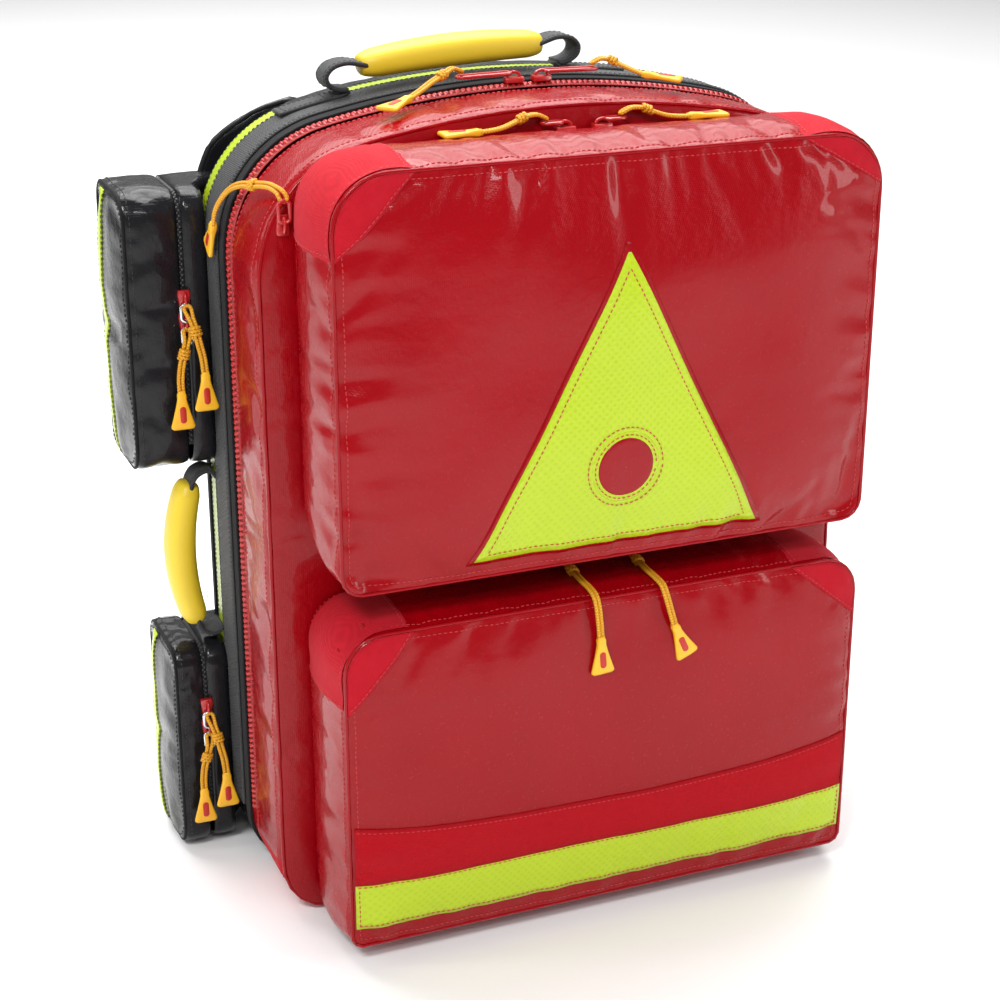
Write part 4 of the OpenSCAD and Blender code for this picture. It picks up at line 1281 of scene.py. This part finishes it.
for side, s in (("left", -1), ("right", 1)):
    path = [p + Vector((s * 75, 0, 0)) for p in eased(strap_path(6.5), 4)]
    goods, n = Goods(), len(path)
    taper = [5 * max(0, (k - n * 0.78) / (n * 0.22)) ** 1.4 for k in range(n)]
    frames = carried(path, (0, 0.2, 1))
    rows = []
    for k, (p, (way, _, out)) in enumerate(zip(path, frames)):
        half = 33 - taper[k]
        thick = 6.2 * min(1, 0.62 + k / 9, 0.5 + (n - 1 - k) / 8)
        rows.append([p + Vector((1, 0, 0)) * (half * squarish(cos(a), 0.6))
                     + out * (thick * squarish(sin(a), 0.75))
                     for a in [2 * pi * j / 32 for j in range(32)]])
    goods.grid(rows, 0, True, True)
    strap = goods.make(f"shoulder_strap_{side}_pad", [nylon], "pack")
    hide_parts(f"shoulder_strap_{side}")
    trim = Goods()
    for edge in (-1, 1):
        tube(trim, [p + Vector((edge * (32.2 - taper[k]), 0, 0))
                    for k, p in enumerate(path)][1:-1], 2.3, 0, 8, up=(0, 0.2, 1))
    middle = [p + f[2] * 6.4 for p, f in zip(path, frames)][2:-2]
    outs = [f[2] for f in frames][2:-2]
    ribbon(trim, middle, outs, 24, 1.8)
    for dx in (-10, 10):
        stitch(trim, shifted(middle, outs, 0.9, dx), 1)
    trim.make(f"shoulder_strap_{side}_webbing", [black_webbing, thread], "pack")

lower_webs = Goods()
for s in (-1, 1):
    path = eased([(s * 75, y, z) for y, z in ((131.5, 144.6), (134, 144.9), (135.9, 143.6), (135.9, 137),
            (134.9, 118), (134.5, 100),
                                              (134.5, 60), (134.5, 34), (130, 26.5), (115, 19.5),
                                              (100.6, 15.2))], 5)
    outs = [f[2] for f in carried(path, (0, 0.1, 1))]
    ribbon(lower_webs, path, outs, 22, 1.9)
    for dx in (-8.5, 8.5):
        stitch(lower_webs, shifted(path, outs, 0.95, dx)[6:], 1)
lower_webs_piece = lower_webs.make("strap_adjusting_webbing", [black_webbing, thread], "pack")
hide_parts("strap_webbing")

# ---- hip belt ----
# Two short padded wings over the lower pad, joined in front by a side-release buckle of black moulded plastic on
# 24 mm webbing.
for side, s in (("left", -1), ("right", 1)):
    arcs, crown = box_arcs(82, 165, 52, 122, 20, 20)
    wing = Pouch(arcs, crown, 18, 16, [0, 3, 6, 9, 11], lambda u, v, w: (s * u, 117.7 + w, v), puff=0.8,
                 dome=2)
    wing.sew(f"hip_belt_{side}_wing", [nylon], "pack", pressure=14, cap=2.2, slack=0.04, thick=0)
    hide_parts(f"hip_belt_{side}")
    trim = Goods()
    tube(trim, [Vector(wing.place(u - a * 0.5, v - b * 0.5, 10.5)) for (u, v),
                (a, b) in zip(wing.ring, wing.outs)], 1.7, 0, 8, True)
    ribbon(trim, [Vector((s * x, 117.7 + b, 87)) for x,
                  b in ((150, -2), (162, -1.5), (170, -4), (174, -10), (175, -18.5))],
           [Vector((s * a, b, 0)) for a, b in ((0, 1), (0.2, 1), (0.7, 0.7), (1, 0.2), (1, 0))], 48, 2)
    ribbon(trim, [Vector((s * x, 131, 87)) for x in (28 if s > 0 else 32, 60, 90, 129.5)],
           [Vector((0, 1, 0))] * 4, 24.6, 2.5)
    for z in (77, 97):
        stitch(trim, [(Vector((s * x, 132.3, z)), Vector((0, 1, 0))) for x in (84, 106, 128)], 1)
    for x in (86, 126):
        stitch(trim, [(Vector((s * x, 132.3, z)), Vector((0, 1, 0))) for z in (77, 87, 97)], 1)
    trim.make(f"hip_belt_{side}_webbing", [black_webbing, thread], "pack" if s < 0 else "hip_plug")

plastic = Finish("buckle_plastic_black", (0.022, 0.022, 0.024), 0.38)
moulded, rub = plastic.noise(1600, 2), plastic.noise(60, 3)
plastic.tint((0.035, 0.035, 0.038), rub)
plastic.feed("Roughness", 0.32 + 0.14 * rub)
plastic.relief(moulded, 0.00008)
sheet_finish = Finish("stiffener_sheet", (0.42, 0.42, 0.44), 0.5)
scratches = sheet_finish.noise(220, 4, 0.7)
sheet_finish.tint((0.30, 0.30, 0.32), scratches)
sheet_finish.feed("Roughness", 0.4 + 0.3 * scratches)
sheet_finish.relief(scratches, 0.00015)
for name in ("ladder_buckles", "hip_buckle_socket", "hip_buckle_plug", "back_plate"):
    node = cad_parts[name]
    node.data.materials.clear()
    node.data.materials.append(plastic.material if name != "back_plate" else sheet_finish.material)
    rounding = node.modifiers.new("moulded_edges", "BEVEL")
    rounding.width, rounding.segments, rounding.angle_limit = 0.0008, 2, radians(40)

# ---- pouches inside the body ----
# Three grey woven pouches on the back plate hold the instruments; each has a zipped lid and a webbing grip.
pouch_finish = woven("pouch_cloth", (0.16, 0.165, 0.175), (0.09, 0.092, 0.10), 0.0014)
for name, x0, x1, z0, z1, rl, rh in (("top", -150, 150, 330, 480, 15, 40),
        ("left", -160, -5, 14, 310, 12, 12), ("right", 5, 160, 14, 310, 12, 12)):
    arcs, crown = box_arcs(x0, x1, z0, z1, rl, rh)
    pouch = Pouch(arcs, crown, int((x1 - x0) / 8), int((z1 - z0) / 8), [0, 6, 12, 17, 23, 28, 32],
                  lambda u, v, w: (u, 90.3 - w, v), puff=0.8, dome=0.5)
    pouch.sew(f"inner_pouch_{name}", [pouch_finish], "pack", pressure=8, cap=1.8, slack=0.03, thick=1.2)
    if name == "top":
        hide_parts("inner_pouches")
    trim = Goods()
    ring = [q for part in four_sides(*box_arcs(x0, x1, z0, z1, rl, rh, -11), 40, 40) for q in part[:-1]]
    spots = [pouch.onto(u, v, 0.8) for u, v in ring if v > z0 + 24]
    zipper(trim, ring_from_foot(spots), 9, 4, 2.0, high=0.9)
    mid = (x0 + x1) / 2
    grip = [(mid + d, (z0 + z1) / 2, h) for d, h in ((-46, 0.8), (-38, 0.9), (-26, 2.0), (0, 2.6), (26, 2.0),
            (38, 0.9), (46, 0.8))]
    path = eased([pouch.onto(u, v, h)[0] for u, v, h in grip], 4)
    ribbon(trim, path, [Vector((0, -1, 0))] * len(path), 24, 1.6, 2)
    trim.make(f"inner_pouch_{name}_trim", [black_tape, black_coil, black_webbing], "pack")
